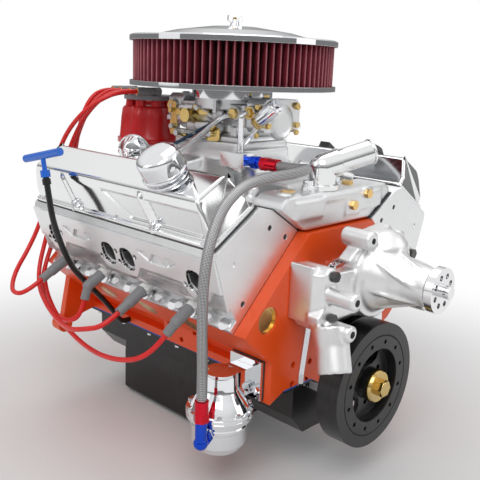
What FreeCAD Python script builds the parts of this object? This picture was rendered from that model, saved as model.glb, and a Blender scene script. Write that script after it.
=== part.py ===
import FreeCAD, Part
import math
import os
import re

import Sketcher
from FreeCAD import Placement, Rotation, Vector

# A ninety-degree V8 engine, complete from air cleaner to oil pan.
# Frame: the origin is on the crankshaft axis at the rear face of the crank flange.
# +Y points to the rear, +X to the driver's side, +Z up. The front of the engine faces -Y.

doc = FreeCAD.newDocument("V8Engine")
sheet = doc.addObject("Spreadsheet::Sheet", "Sizes")

SIZES = {
    # cylinder block
    "bore_diameter": 101.6,
    "bore_spacing": 111.76,
    "bank_stagger": 22.35,
    "bank_angle": 45,
    "deck_height": 229.2,
    "deck_outer": 76,
    "deck_inner": 112,
    "block_length": 516,
    "first_bore_from_front": 66.4,
    "bank_end_wall": 65.4,
    "flange_proud": 10.5,
    "pan_rail_half_width": 122,
    "pan_rail_thickness": 12,
    "crankcase_bay_radius": 84,
    "main_web_thickness": 25,
    "valley_floor_height": 168,
    "china_wall_thickness": 24,
    "bell_flange_thickness": 14,
    "bell_bolt_circle_radius": 196,
    "bell_hole_radius": 5.6,
    "core_plug_radius": 20.6,
    "engine_mount_spacing": 66.7,
    "engine_mount_hole_radius": 4.8,
    # crankshaft and its front end
    "crank_stroke": 88.4,
    "main_journal_radius": 31.1,
    "rod_journal_radius": 26.65,
    "rod_journal_length": 50,
    "counterweight_radius": 72,
    "crank_flange_radius": 53,
    "crank_flange_thickness": 14,
    "flange_bolt_circle_radius": 45.4,
    "flange_hole_radius": 5.6,
    "pilot_bore_radius": 21.6,
    "pilot_bore_depth": 12,
    "rear_seal_radius": 57,
    "snout_radius": 15.9,
    "balancer_radius": 101.6,
    "balancer_thickness": 38,
    "balancer_gap": 46,
    "balancer_hub_radius": 26,
    "balancer_pulley_circle_radius": 33.3,
    "crank_bolt_washer_radius": 24,
    # camshaft and timing set
    "cam_height": 114.8,
    "cam_journal_radius": 23.7,
    "cam_base_radius": 14.5,
    "cam_lobe_lift": 7,
    "cam_lobe_width": 13,
    "sprocket_width": 9,
    "cam_sprocket_radius": 60,
    "crank_sprocket_radius": 31,
    "chain_thickness": 7,
    "timing_cover_depth": 38,
    "timing_cover_wall": 2.5,
    "cover_foot_radius": 50,
    # pistons
    "rod_length": 144.8,
    "piston_clearance": 0.3,
    "piston_crown_height": 39,
    "piston_skirt_length": 22,
    # running and laying clearances
    "shaft_clearance": 0.05,
    "free_clearance": 0.3,
    # cylinder heads
    "head_gasket_thickness": 1,
    "head_length": 466,
    "head_inner_height": 92,
    "head_outer_height": 113,
    "rail_inner_offset": 84,
    "rail_outer_offset": 14,
    "exhaust_port_pair_gap": 49,
    "exhaust_port_end_offset": 182,
    "exhaust_port_width": 33,
    "exhaust_port_height": 38,
    "exhaust_port_depth": 42,
    "plug_reach_offset": 63,
    "plug_height": 8,
    "plug_behind_bore": 12,
    # valve covers
    "cover_gasket_thickness": 3,
    "cover_height": 64,
    "cover_wall": 3,
    "cover_length": 452,
    "cover_flange_thickness": 5,
    "breather_station": 142,
    "breather_radius": 31,
    "breather_height": 44,
    # intake manifold and thermostat housing
    "intake_gasket_thickness": 1.5,
    "carburettor_pad_height": 357,
    "carburettor_station": 254,
    "crossover_top_height": 298,
    "intake_front_station": 8,
    "neck_outer_radius": 19,
    "neck_inner_radius": 16,
    "neck_shoulder": 26,
    # carburettor and air cleaner
    "carburettor_height": 82,
    "throttle_bore_radius": 21,
    "throttle_shaft_radius": 4,
    "throttle_plate_thickness": 1.6,
    "barrel_spacing_x": 47,
    "barrel_spacing_y": 55,
    "air_cleaner_radius": 177.8,
    "element_radius": 172,
    "element_depth": 24,
    "element_height": 76,
    "element_pleats": 72,
    "air_cleaner_base_thickness": 3,
    "lid_dome": 21,
    "stud_radius": 3.2,
    # distributor
    "distributor_station": 446,
    "distributor_offset": -27,
    "distributor_cap_radius": 62,
    "distributor_seat_height": 276,
    "distributor_cap_bottom": 332,
    "distributor_cap_top": 412,
    # water pump
    "pump_axis_height": 180,
    "pump_leg_offset": 104,
    "pump_leg_width": 42,
    "pump_bolt_spread": 64,
    "hub_face_forward": 180,
    "hub_radius": 34,
    "hub_thickness": 12,
    "hub_bolt_circle_radius": 22.2,
    "hub_hole_radius": 4.2,
    "pilot_radius": 9.5,
    "pump_inlet_radius": 25,
    "pump_inlet_bore": 21,
    # oil pan
    "pan_wall": 2.5,
    "pan_gasket_thickness": 2.5,
    "shallow_pan_depth": 92,
    "sump_depth": 165,
    "sump_front_station": 195,
    "sump_rear_station": 432,
    "sump_half_width": 98,
    # fuel pump, log and hose
    "fuel_pump_station": 46,
    "fuel_pump_reach": 215,
    "fuel_pump_radius": 50,
    "fuel_hose_diameter": 15,
    # ignition wires and dipstick
    "plug_wire_diameter": 8,
    "dipstick_tube_radius": 5,
    "dipstick_tube_bore": 3.4,
    "dipstick_blade_radius": 2.4,
    "dipstick_blade_length": 70,
}

for row, (alias, amount) in enumerate(SIZES.items(), 1):
    sheet.set(f"A{row}", alias.replace("_", " "))
    sheet.set(f"B{row}", str(amount))
    sheet.setAlias(f"B{row}", alias)
doc.recompute()


def size(alias):
    return float(sheet.get(alias))


# --- how the parametric bodies are written -------------------------------------------------------

WORD = re.compile(r"[a-z][a-z0-9_]*[a-z0-9]")


def bind(text):
    """The expression with every size in it read from the sheet."""
    return WORD.sub(lambda found: "Sizes." + found.group(0) if found.group(0) in SIZES else found.group(0), text)


def number(text):
    return float(sheet.evalExpression(text))


pieces = {}


def body_named(label):
    body = doc.addObject("PartDesign::Body", label)
    body.Label = label
    pieces[label] = body
    return body


def sketch_on(body, role, offset="0"):
    """A sketch on one of the body's own origin planes, moved along that plane's normal."""
    sketch = body.newObject("Sketcher::SketchObject", body.Name + "_outline")
    plane = [feature for feature in body.Origin.OriginFeatures if feature.Role == role][0]
    sketch.AttachmentSupport = [(plane, "")]
    sketch.MapMode = "FlatFace"
    sketch.setExpression("AttachmentOffset.Base.z", bind(offset))
    return sketch


def tie(sketch, kind, where, text):
    """One dimension of a sketch, bound to the sheet."""
    index = sketch.addConstraint(Sketcher.Constraint(kind, *where, number(text)))
    sketch.setExpression(f"Constraints[{index}]", bind(text))


def polygon(sketch, corners):
    """A closed outline of straight edges; each corner is a pair of expressions."""
    points = [Vector(number(across), number(up), 0) for across, up in corners]
    first = sketch.GeometryCount
    count = len(points)
    sketch.addGeometry([Part.LineSegment(points[i], points[(i + 1) % count]) for i in range(count)])
    sketch.addConstraint(
        [Sketcher.Constraint("Coincident", first + i, 2, first + (i + 1) % count, 1) for i in range(count)]
    )
    for i, (across, up) in enumerate(corners):
        tie(sketch, "DistanceX", (-1, 1, first + i, 1), across)
        tie(sketch, "DistanceY", (-1, 1, first + i, 1), up)


def ring(sketch, across, up, radius):
    """A circle, placed and sized by expressions."""
    centre = Vector(number(across), number(up), 0)
    index = sketch.addGeometry(Part.Circle(centre, Vector(0, 0, 1), number(radius)))
    tie(sketch, "DistanceX", (-1, 1, index, 3), across)
    tie(sketch, "DistanceY", (-1, 1, index, 3), up)
    tie(sketch, "Radius", (index,), radius)


def pad(body, sketch, length, back=False):
    feature = body.newObject("PartDesign::Pad", body.Name + "_pad")
    feature.Profile = sketch
    feature.setExpression("Length", bind(length))
    feature.Reversed = back
    doc.recompute()
    return feature


def pocket(body, sketch, depth, back=False):
    """Cuts along the sketch's normal when back is True; the volume must go down."""
    before = body.Shape.Volume
    feature = body.newObject("PartDesign::Pocket", body.Name + "_pocket")
    feature.Profile = sketch
    feature.setExpression("Length", bind(depth))
    feature.Reversed = back
    doc.recompute()
    if body.Shape.Volume > before - 0.01:
        raise ValueError(f"{feature.Name} in {body.Label} cuts nothing")
    return feature


def revolve(body, sketch, cut=False):
    """Turns an outline a full circle about the sketch's vertical axis."""
    kind = "Groove" if cut else "Revolution"
    feature = body.newObject("PartDesign::" + kind, body.Name + "_" + kind.lower())
    feature.Profile = sketch
    feature.ReferenceAxis = (sketch, ["V_Axis"])
    feature.Angle = 360
    doc.recompute()
    return feature


def around(body, feature, role, count):
    """Repeats a feature round one of the body's own axes."""
    pattern = body.newObject("PartDesign::PolarPattern", body.Name + "_circle")
    pattern.Originals = [feature]
    axis = [item for item in body.Origin.OriginFeatures if item.Role == role][0]
    pattern.Axis = (axis, [""])
    pattern.Angle = 360
    pattern.Occurrences = count
    body.Tip = pattern
    doc.recompute()
    return pattern


# --- how the castings and the groups of fasteners are written -----------------------------------

def piece(label, shape):
    """A sub-part whose shape is worked out below from the sheet's sizes."""
    feature = doc.addObject("Part::Feature", label)
    feature.Label = label
    feature.Shape = shape
    pieces[label] = feature
    return feature


FRONT = -(size("flange_proud") + size("block_length"))
FRONT_WORDS = "flange_proud + block_length"


def station(behind_front):
    """The Y of a point so far behind the front face of the block."""
    return FRONT + behind_front


def prism(outline, start, end):
    """An outline in X and Z, drawn out along Y from start to end."""
    points = [Vector(across, start, up) for across, up in outline]
    return Part.Face(Part.makePolygon(points + points[:1])).extrude(Vector(0, end - start, 0))


def slab(outline, bottom, top):
    """An outline in X and Y, drawn out along Z from bottom to top."""
    points = [Vector(across, along, bottom) for across, along in outline]
    return Part.Face(Part.makePolygon(points + points[:1])).extrude(Vector(0, 0, top - bottom))


def block_of(left, right, start, end, bottom, top):
    return Part.makeBox(right - left, end - start, top - bottom, Vector(left, start, bottom))


def rod(start, end, radius):
    start, end = Vector(*start), Vector(*end)
    return Part.makeCylinder(radius, (end - start).Length, start, end - start)


def taper(start, end, first_radius, last_radius):
    start, end = Vector(*start), Vector(*end)
    return Part.makeCone(first_radius, last_radius, (end - start).Length, start, end - start)


def hexagon(seat, direction, flats, height):
    """A hexagon head that stands on its seat."""
    seat, direction = Vector(*seat), Vector(*direction).normalize()
    aside = direction.cross(Vector(0, 0, 1))
    if aside.Length < 0.1:
        aside = direction.cross(Vector(0, 1, 0))
    aside.normalize()
    other = direction.cross(aside)
    reach = flats / math.sqrt(3)
    turns = [math.radians(60 * i) for i in range(7)]
    points = [seat + aside * (reach * math.cos(t)) + other * (reach * math.sin(t)) for t in turns]
    return Part.Face(Part.makePolygon(points)).extrude(direction * height)


def joined(first, *others):
    return first.fuse(list(others)).removeSplitter()


def less(first, *others):
    return first.cut(list(others))


def together(solids):
    return Part.makeCompound(list(solids))


HALF = math.radians(size("bank_angle"))


def bank_point(side, up, out):
    """X and Z of a point on a bank: up along the cylinders from the crank axis, out to the exhaust side."""
    across = up * math.sin(HALF) + out * math.cos(HALF)
    return side * across, up * math.cos(HALF) - out * math.sin(HALF)


def on_bank(side, outline):
    return [bank_point(side, up, out) for up, out in outline]


def bank_vector(side, up, out, along=0.0):
    across, rise = bank_point(side, up, out)
    return Vector(across, along, rise)


DRIVER = 1
PASSENGER = -1


def bank_front(side):
    """The Y of the front end of a bank's head; the driver's bank is the forward one."""
    lead = size("first_bore_from_front") - size("bank_end_wall")
    return station(lead + (size("bank_stagger") if side == PASSENGER else 0))


def bore_stations(side):
    first = bank_front(side) + size("bank_end_wall")
    return [first + i * size("bore_spacing") for i in range(4)]


def web_stations():
    """The Y of the five main bearings, midway between the rod journals."""
    first_journal = station(size("first_bore_from_front") + size("bank_stagger") / 2)
    return [first_journal + (i - 0.5) * size("bore_spacing") for i in range(5)]


CRANK_THROWS = (0, 90, 270, 180)
REST_TURN = 20


def throw_direction(index):
    turn = math.radians(CRANK_THROWS[index] + REST_TURN)
    return Vector(math.sin(turn), 0, math.cos(turn))


# --- cylinder block ------------------------------------------------------------------------------

def engine_block():
    front, rear = station(0), station(size("block_length"))
    deck, inner, outer = size("deck_height"), -size("deck_inner"), size("deck_outer")
    rail, rail_top = size("pan_rail_half_width"), size("pan_rail_thickness")
    floor = size("valley_floor_height")
    skirt = [(rail, 0), (rail, rail_top), (rail - 12, rail_top + 5), (rail - 7, 36)]
    bank = on_bank(DRIVER, [(150, outer - 3), (deck, outer), (deck, inner), (178, inner + 8)])
    half = skirt + bank + [(38, floor)]

    def mirrored(points):
        return [(-across, up) for across, up in reversed(points)]

    casting = prism(half + mirrored(half), front, rear)
    china = on_bank(DRIVER, [(deck, inner), (150, inner + 20)])
    wall = [china[0], china[1], (china[1][0], 120), (-china[1][0], 120), (-china[1][0], china[1][1]),
            (-china[0][0], china[0][1])]
    thick = size("china_wall_thickness")
    casting = casting.fuse([prism(wall, front, front + thick), prism(wall, rear - thick, rear)])

    # rear flange with its six lugs
    circle = size("bell_bolt_circle_radius")
    lugs = [(circle * math.cos(math.radians(a)), circle * math.sin(math.radians(a))) for a in bell_angles()]
    flange_start = rear - size("bell_flange_thickness")
    foot = rail + 1
    outline = [(foot, 0)] + lugs + [(-x, z) for x, z in reversed(lugs)] + [(-foot, 0)]
    casting = casting.fuse(prism(outline, flange_start, rear))
    for x, z in lugs + [(-x, z) for x, z in lugs]:
        casting = casting.fuse(rod((x, flange_start - 10, z), (x, rear, z), 15))

    # fuel pump boss and side mounting pads
    pump_y = station(size("fuel_pump_station"))
    boss = [(-rail + 20, 0), (-rail - 1, 0), (-fuel_pad(), -14), (-fuel_pad(), 56), (-rail + 10, 72)]
    casting = casting.fuse(prism(boss, front, pump_y + 34))
    for side in (DRIVER, PASSENGER):
        left, right = sorted((side * (rail - 20), side * (rail + 3)))
        casting = casting.fuse(block_of(left, right, station(188), station(282), 0, 56))

    # what is cut out: cylinders, crankcase bays, bearing line, camshaft tunnel, bolt holes
    cuts = []
    for side in (DRIVER, PASSENGER):
        for y in bore_stations(side):
            low, high = bank_vector(side, 40, 0, y), bank_vector(side, deck + 5, 0, y)
            cuts.append(rod(low, high, size("bore_diameter") / 2))
    webs = web_stations()
    half_web = size("main_web_thickness") / 2
    bay = size("crankcase_bay_radius")
    for start, end in zip(webs[:-1], webs[1:]):
        cuts.append(rod((0, start + half_web, 0), (0, end - half_web, 0), bay))
    cuts.append(rod((0, front - 1, 0), (0, rear + 1, 0), size("main_journal_radius") + size("shaft_clearance")))
    cuts.append(rod((0, rear - 24, 0), (0, rear + 1, 0), size("rear_seal_radius") + size("shaft_clearance")))
    cam = size("cam_journal_radius") + size("shaft_clearance")
    cuts.append(rod((0, front - 1, size("cam_height")), (0, rear - 8, size("cam_height")), cam))
    for x, z in lugs + [(-x, z) for x, z in lugs]:
        cuts.append(rod((x, rear - 40, z), (x, rear + 1, z), size("bell_hole_radius")))
    for side in (DRIVER, PASSENGER):
        face = side * (rail + 3)
        for y, z in mount_holes():
            cuts.append(rod((face + side, y, z), (face - side * 18, y, z), size("engine_mount_hole_radius")))
        plug_depth = 8
        for y in core_plug_stations(side):
            centre = bank_vector(side, 188, outer + 2, y)
            cuts.append(rod(centre, centre - bank_vector(side, 0, plug_depth, 0), size("core_plug_radius")))
        cuts.append(rod(front_plug(side), (front_plug(side)[0], front + plug_depth, front_plug(side)[2]),
                        size("core_plug_radius")))
    for x, z in accessory_holes():
        cuts.append(rod((x, front - 1, z), (x, front + 18, z), 5))
    shaft_x, shaft_y = size("distributor_offset"), station(size("distributor_station"))
    cuts.append(rod((shaft_x, shaft_y, 98), (shaft_x, shaft_y, floor + 40), 17))
    casting = casting.cut(cuts)
    return casting.removeSplitter()


def bell_angles():
    return (-5, 28, 72)


def fuel_pad():
    """How far from the centre line the fuel pump's pad stands."""
    return size("fuel_pump_reach") - 60


def mount_holes():
    middle = station(235)
    apart = size("engine_mount_spacing") / 2
    return [(middle - apart, 35), (middle + apart, 35), (middle, 12)]


def core_plug_stations(side):
    bores = bore_stations(side)
    return [(bores[i] + bores[i + 1]) / 2 for i in range(3)]


def front_plug(side):
    return (side * 168, FRONT - 1, 84 + 40)


def accessory_holes():
    return [(-104, 37), (-104, 5), (104, 37), (104, 5)]


def main_bearing_caps():
    """Five caps under the crank, each with two bolts."""
    solids = []
    thick = size("main_web_thickness") - 3
    saddle = size("main_journal_radius") + size("shaft_clearance")
    for y in web_stations():
        start = y - thick / 2
        outline = [(-74, 0), (-74, -30), (-50, -30), (-44, -46), (44, -46), (50, -30), (74, -30), (74, 0)]
        cap = prism(outline, start, start + thick)
        cap = cap.cut(rod((0, start - 1, 0), (0, start + thick + 1, 0), saddle))
        solids.append(cap)
    return together(solids)


def main_cap_bolts():
    return together(
        hexagon((side * 62, y, -30), (0, 0, -1), 17, 11) for y in web_stations() for side in (DRIVER, PASSENGER)
    )


def core_plugs():
    """Pressed brass cups: three along each side and one at the front of each bank."""
    solids = []
    radius, inside = size("core_plug_radius"), size("core_plug_radius") - 2.5
    for side in (DRIVER, PASSENGER):
        for y in core_plug_stations(side):
            base = bank_vector(side, 188, size("deck_outer") - 6, y)
            face = bank_vector(side, 188, size("deck_outer") - 2, y)
            solids.append(rod(base, face, radius))
        x, y, z = front_plug(side)
        cup = rod((x, y + 9, z), (x, y + 3, z), radius)
        solids.append(cup.cut(rod((x, y + 6, z), (x, y + 2, z), inside)))
    return together(solids)


# --- crankshaft ----------------------------------------------------------------------------------

def crankshaft():
    """Five main journals and four throws at right angles, with a counterweight on each cheek."""
    webs = web_stations()
    rear_web, front_web = webs[-1], webs[0]
    half_web = size("main_web_thickness") / 2 + 0.5
    main = size("main_journal_radius")
    parts = [rod((0, y - half_web, 0), (0, y + half_web, 0), main) for y in webs]
    heavy = size("counterweight_radius")
    half_pin = size("rod_journal_length") / 2
    for index in range(4):
        middle = (webs[index] + webs[index + 1]) / 2
        out = throw_direction(index)
        pin = out * (size("crank_stroke") / 2)
        parts.append(rod((pin.x, middle - half_pin, pin.z), (pin.x, middle + half_pin, pin.z),
                         size("rod_journal_radius")))
        for end in (-1, 1):
            near = middle + end * half_pin
            far = middle + end * (size("bore_spacing") / 2 - half_web)
            start, stop = min(near, far), max(near, far)
            parts.append(cheek(out, start, stop, heavy))
    flange_start = -size("crank_flange_thickness")
    seal_start = rear_web + half_web
    parts.append(rod((0, seal_start, 0), (0, flange_start, 0), main))
    parts.append(rod((0, flange_start, 0), (0, 0, 0), size("crank_flange_radius")))
    snout_end = snout_front()
    parts.append(rod((0, front_web - half_web, 0), (0, station(4), 0), main))
    parts.append(rod((0, station(4), 0), (0, snout_end, 0), size("snout_radius")))
    shaft = parts[0].fuse(parts[1:])
    holes = [rod((0, -size("pilot_bore_depth"), 0), (0, 1, 0), size("pilot_bore_radius"))]
    for i in range(6):
        turn = math.radians(60 * i + 30)
        x = size("flange_bolt_circle_radius") * math.cos(turn)
        z = size("flange_bolt_circle_radius") * math.sin(turn)
        holes.append(rod((x, flange_start - 1, z), (x, 1, z), size("flange_hole_radius")))
    return shaft.cut(holes).removeSplitter()


def cheek(out, start, stop, heavy):
    """One crank cheek: a neck towards the rod journal and a sector of counterweight opposite."""
    aside = Vector(out.z, 0, -out.x)
    tip = size("crank_stroke") / 2 + size("rod_journal_radius") + 1

    def place(up, across):
        spot = out * up + aside * across
        return (spot.x, spot.z)

    neck = [place(tip, -14), place(tip, 14), place(tip - 18, 34), place(-10, 38), place(-10, -38),
            place(tip - 18, -34)]
    weight = Part.makeCylinder(heavy, stop - start, Vector(0, start, 0), Vector(0, 1, 0))
    keep = [place(-12, -heavy - 5), place(-12, heavy + 5), place(-heavy - 5, heavy + 5), place(-heavy - 5, -heavy - 5)]
    weight = weight.common(prism(keep, start, stop))
    return prism(neck, start, stop).fuse(weight)


def pistons():
    """Eight pistons, each at the height that its rod journal gives it at rest."""
    solids = []
    radius = size("bore_diameter") / 2 - size("piston_clearance")
    throw = size("crank_stroke") / 2
    for side in (DRIVER, PASSENGER):
        for index, y in enumerate(bore_stations(side)):
            out = throw_direction(index)
            up, aside = bank_vector(side, 1, 0), bank_vector(side, 0, 1)
            along, off = throw * out.dot(up), throw * out.dot(aside)
            pin = along + math.sqrt(size("rod_length") ** 2 - off**2)
            crown = pin + size("piston_crown_height")
            top, bottom = bank_vector(side, crown, 0, y), bank_vector(side, pin - size("piston_skirt_length"), 0, y)
            body = rod(bottom, top, radius)
            hollow = rod(bottom - up * 1, bank_vector(side, crown - 12, 0, y), radius - 9)
            solids.append(body.cut(hollow))
    return together(solids)


def camshaft():
    """Five journals and sixteen lobes; it turns once for two turns of the crank."""
    height = size("cam_height")
    start, end = station(2), station(size("block_length") - 12)
    parts = [rod((0, start, height), (0, end, height), size("cam_base_radius")),
             rod((0, timing_station() + size("sprocket_width"), height), (0, start + 1, height), 20)]
    for y in web_stations():
        near, far = max(y - 11, start), min(y + 11, end)
        parts.append(rod((0, near, height), (0, far, height), size("cam_journal_radius")))
    lobe_radius = size("cam_base_radius") + 0.8
    for index in range(16):
        web = web_stations()[index // 4]
        y = web + 18 + (index % 4) * 18
        turn = math.radians(45 * index + 22)
        lift = size("cam_lobe_lift")
        x, z = lift * math.cos(turn), height + lift * math.sin(turn)
        half = size("cam_lobe_width") / 2
        parts.append(rod((x, y - half, z), (x, y + half, z), lobe_radius))
    return parts[0].fuse(parts[1:]).removeSplitter()


def sprocket(height, teeth, radius, bore, start, end):
    """A toothed disc about a line along Y; tooth tips reach the radius."""
    outline = []
    for tooth in range(teeth):
        for share, reach in ((-0.22, radius - 4), (-0.12, radius), (0.12, radius), (0.22, radius - 4)):
            turn = 2 * math.pi * (tooth + share) / teeth
            outline.append((reach * math.cos(turn), height + reach * math.sin(turn)))
    disc = prism(outline, start, end)
    return disc.cut(rod((0, start - 1, height), (0, end + 1, height), bore))


def timing_chain():
    """The loop round both sprockets, just clear of their teeth."""
    low, high = 0, size("cam_height")
    inside_low = size("crank_sprocket_radius") + size("free_clearance")
    inside_high = size("cam_sprocket_radius") + size("free_clearance")
    start = station(-13 - size("sprocket_width"))
    end = start + size("sprocket_width")

    def loop(extra):
        small, large = inside_low + extra, inside_high + extra
        lean = math.asin((large - small) / (high - low))
        corner = [(large * math.cos(lean), high - large * math.sin(lean)),
                  (small * math.cos(lean), low - small * math.sin(lean))]
        sides = [corner[0], corner[1], (-corner[1][0], corner[1][1]), (-corner[0][0], corner[0][1])]
        return prism(sides, start, end).fuse([rod((0, start, low), (0, end, low), small),
                                              rod((0, start, high), (0, end, high), large)])

    return loop(size("chain_thickness")).cut(loop(0)).removeSplitter()


# --- cylinder heads and valve covers -------------------------------------------------------------

def head_deck():
    return size("deck_height") + size("head_gasket_thickness")


def exhaust_face():
    """Lower and upper edge of the leaning exhaust face, as (up, out)."""
    deck = head_deck()
    return (deck + 32, 60), (deck + size("head_outer_height") - 5, size("rail_outer_offset") + 8)


def plug_seat():
    return head_deck() + 12 + size("plug_height"), size("plug_reach_offset") - 7


PLUG_LEAN = (0.263, 0.965)


def plug_stations(side):
    return [y + size("plug_behind_bore") for y in bore_stations(side)]


def exhaust_stations(side):
    middle = bank_front(side) + size("head_length") / 2
    near, far = size("exhaust_port_pair_gap") / 2, size("exhaust_port_end_offset")
    return [middle - far, middle - near, middle + near, middle + far]


def intake_port_stations(side):
    bores = bore_stations(side)
    pairs = [(bores[0] + bores[1]) / 2, (bores[2] + bores[3]) / 2]
    return [pair + step for pair in pairs for step in (-19, 19)]


def port_slot(side, y, depth):
    """A tall port with round ends, sunk square into the exhaust face."""
    (low_up, low_out), (high_up, high_out) = exhaust_face()
    middle = ((low_up + high_up) / 2 + 1, (low_out + high_out) / 2)
    length = math.hypot(high_up - low_up, high_out - low_out)
    rise = bank_vector(side, (high_up - low_up) / length, (high_out - low_out) / length)
    outward = bank_vector(side, -(high_out - low_out) / length, (high_up - low_up) / length)
    centre = bank_vector(side, *middle, y) + outward * 2
    half_width = size("exhaust_port_width") / 2
    half_straight = size("exhaust_port_height") / 2 - half_width
    along = Vector(0, 1, 0)
    low, high = centre - rise * half_straight, centre + rise * half_straight
    sides = [low - along * half_width, high - along * half_width, high + along * half_width, low + along * half_width]
    edges = [
        Part.LineSegment(sides[0], sides[1]).toShape(),
        Part.Arc(sides[1], high + rise * half_width, sides[2]).toShape(),
        Part.LineSegment(sides[2], sides[3]).toShape(),
        Part.Arc(sides[3], low - rise * half_width, sides[0]).toShape(),
    ]
    return Part.Face(Part.Wire(edges)).extrude(outward * -(depth + 2))


def cylinder_head(side):
    deck = head_deck()
    start = bank_front(side)
    end = start + size("head_length")
    (low_up, low_out), (high_up, high_out) = exhaust_face()
    seat_up, seat_out = plug_seat()
    inner = -size("deck_inner")
    outline = on_bank(side, [
        (deck, inner), (deck, size("deck_outer")), (deck + 8, size("deck_outer")), (deck + 8, seat_out + 3),
        (seat_up + 13, seat_out - 3), (low_up, low_out), (high_up, high_out),
        (deck + size("head_outer_height"), size("rail_outer_offset")),
        (deck + size("head_inner_height"), -size("rail_inner_offset")),
        (deck + 70, inner + 15),
    ])
    casting = prism(outline, start, end)
    cuts = [port_slot(side, y, size("exhaust_port_depth")) for y in exhaust_stations(side)]
    lean = bank_vector(side, *PLUG_LEAN)
    for y in plug_stations(side):
        seat = bank_vector(side, seat_up, seat_out, y)
        cuts.append(rod(seat, seat + lean * 40, 17))
        cuts.append(rod(seat - lean * 14, seat + lean * 2, 7 + size("shaft_clearance")))
    chamber = on_bank(side, [
        (deck + 48, -size("rail_inner_offset") + 12), (deck + 62, size("rail_outer_offset") - 12),
        (deck + 130, size("rail_outer_offset") - 12), (deck + 130, -size("rail_inner_offset") + 12),
    ])
    cuts.append(prism(chamber, start + 14, end - 14))
    for y in intake_port_stations(side):
        port = on_bank(side, [(deck + 14, inner - 5), (deck + 62, inner - 5), (deck + 56, inner + 45),
                              (deck + 14, inner + 45)])
        cuts.append(prism(port, y - 15, y + 15))
    for end_y, inward in ((start, 1), (end, -1)):
        for up, out in head_end_holes():
            hole = bank_vector(side, up, out, end_y - inward)
            cuts.append(rod(hole, hole + Vector(0, inward * 20, 0), 4.2))
    return casting.cut(cuts).removeSplitter()


def head_end_holes():
    deck = head_deck()
    return [(deck + 76, 6), (deck + 16, 34), (deck + 54, -76), (deck + 16, -88)]


def head_gaskets():
    solids = []
    for side in (DRIVER, PASSENGER):
        deck = size("deck_height")
        outline = on_bank(side, [(deck, -size("deck_inner")), (deck, size("deck_outer")),
                                 (head_deck(), size("deck_outer")), (head_deck(), -size("deck_inner"))])
        sheet_metal = prism(outline, bank_front(side), bank_front(side) + size("head_length"))
        holes = [rod(bank_vector(side, deck - 2, 0, y), bank_vector(side, deck + 4, 0, y),
                     size("bore_diameter") / 2 + 1) for y in bore_stations(side)]
        solids.append(sheet_metal.cut(holes))
    return together(solids)


def head_bolts():
    """The outer row, one bolt each side of every spark plug."""
    solids = []
    for side in (DRIVER, PASSENGER):
        up = bank_vector(side, 1, 0)
        for y in plug_stations(side):
            for step in (-32, 32):
                seat = bank_vector(side, head_deck() + 8, size("deck_outer") - 7.7, y + step)
                solids.append(hexagon(seat, up, 14, 9))
    return together(solids)


def spark_plugs():
    """Thread, hexagon and insulator of each plug."""
    solids = []
    seat_up, seat_out = plug_seat()
    for side in (DRIVER, PASSENGER):
        lean = bank_vector(side, *PLUG_LEAN)
        for y in plug_stations(side):
            seat = bank_vector(side, seat_up, seat_out, y)
            thread = rod(seat - lean * 12, seat, 7)
            shell = hexagon(seat, lean, 16, 14)
            insulator = rod(seat + lean * 13, seat + lean * 44, 5)
            solids.append(thread.fuse([shell, insulator]).removeSplitter())
    return together(solids)


def rail_axes():
    """Directions across and square to the valve cover rail, as (up, out)."""
    rise = size("head_outer_height") - size("head_inner_height")
    run = size("rail_outer_offset") + size("rail_inner_offset")
    length = math.hypot(rise, run)
    return (rise / length, run / length), (run / length, -rise / length), length


def on_rail(side, outline):
    """Points given across the rail from its inner edge and square above it."""
    (across_up, across_out), (high_up, high_out), _ = rail_axes()
    base_up, base_out = head_deck() + size("head_inner_height"), -size("rail_inner_offset")
    return [
        bank_point(side, base_up + a * across_up + h * high_up, base_out + a * across_out + h * high_out)
        for a, h in outline
    ]


def rail_vector(side, across, high, y=0.0):
    x, z = on_rail(side, [(across, high)])[0]
    return Vector(x, y, z)


def cover_span(side):
    start = bank_front(side) + (size("head_length") - size("cover_length")) / 2
    return start, start + size("cover_length")


def cover_outline(inset):
    """The cover's section above its gasket, drawn in by the inset; no inset gives the outside."""
    width = rail_axes()[2]
    base = size("cover_gasket_thickness")
    top = base + size("cover_height")
    return [(7 + inset, base), (width - 6 - inset, base), (width - 20 - inset, top - 12), (width - 28 - inset, top - inset),
            (14 + inset, top - 3 - inset), (10 + inset, top - 8 - inset)]


def valve_cover(side):
    start, end = cover_span(side)
    base = size("cover_gasket_thickness")
    width = rail_axes()[2]
    shell = prism(on_rail(side, cover_outline(0)), start + 3, end - 3)
    for end_y, inward in ((start + 3, 1), (end - 3, -1)):
        wedge = [(-5, base + 20), (-5, base + 90), (width + 5, base + 90), (width + 5, base + 20)]
        front = prism(on_rail(side, wedge), end_y - inward * 30, end_y)
        front.rotate(rail_vector(side, 0, base + 20, end_y), rail_vector(side, 1, 0) - rail_vector(side, 0, 0),
                     side * inward * 22)
        shell = shell.cut(front)
    flange = prism(on_rail(side, [(1, base), (width - 1, base), (width - 1, base + size("cover_flange_thickness")),
                                  (1, base + size("cover_flange_thickness"))]), start, end)
    shell = shell.fuse(flange)
    hollow = prism(on_rail(side, [(x, h - (2 if h == base else 0)) for x, h in cover_outline(size("cover_wall"))]),
                   start + 26, end - 26)
    shell = shell.cut(hollow)
    if side == PASSENGER:
        y = station(size("breather_station"))
        bore = rod(rail_vector(side, 42, 30, y), rail_vector(side, 42, 90, y), breather_neck() + size("shaft_clearance"))
        shell = shell.cut(bore)
    return shell.removeSplitter()


def breather_neck():
    return size("breather_radius") - 12


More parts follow.
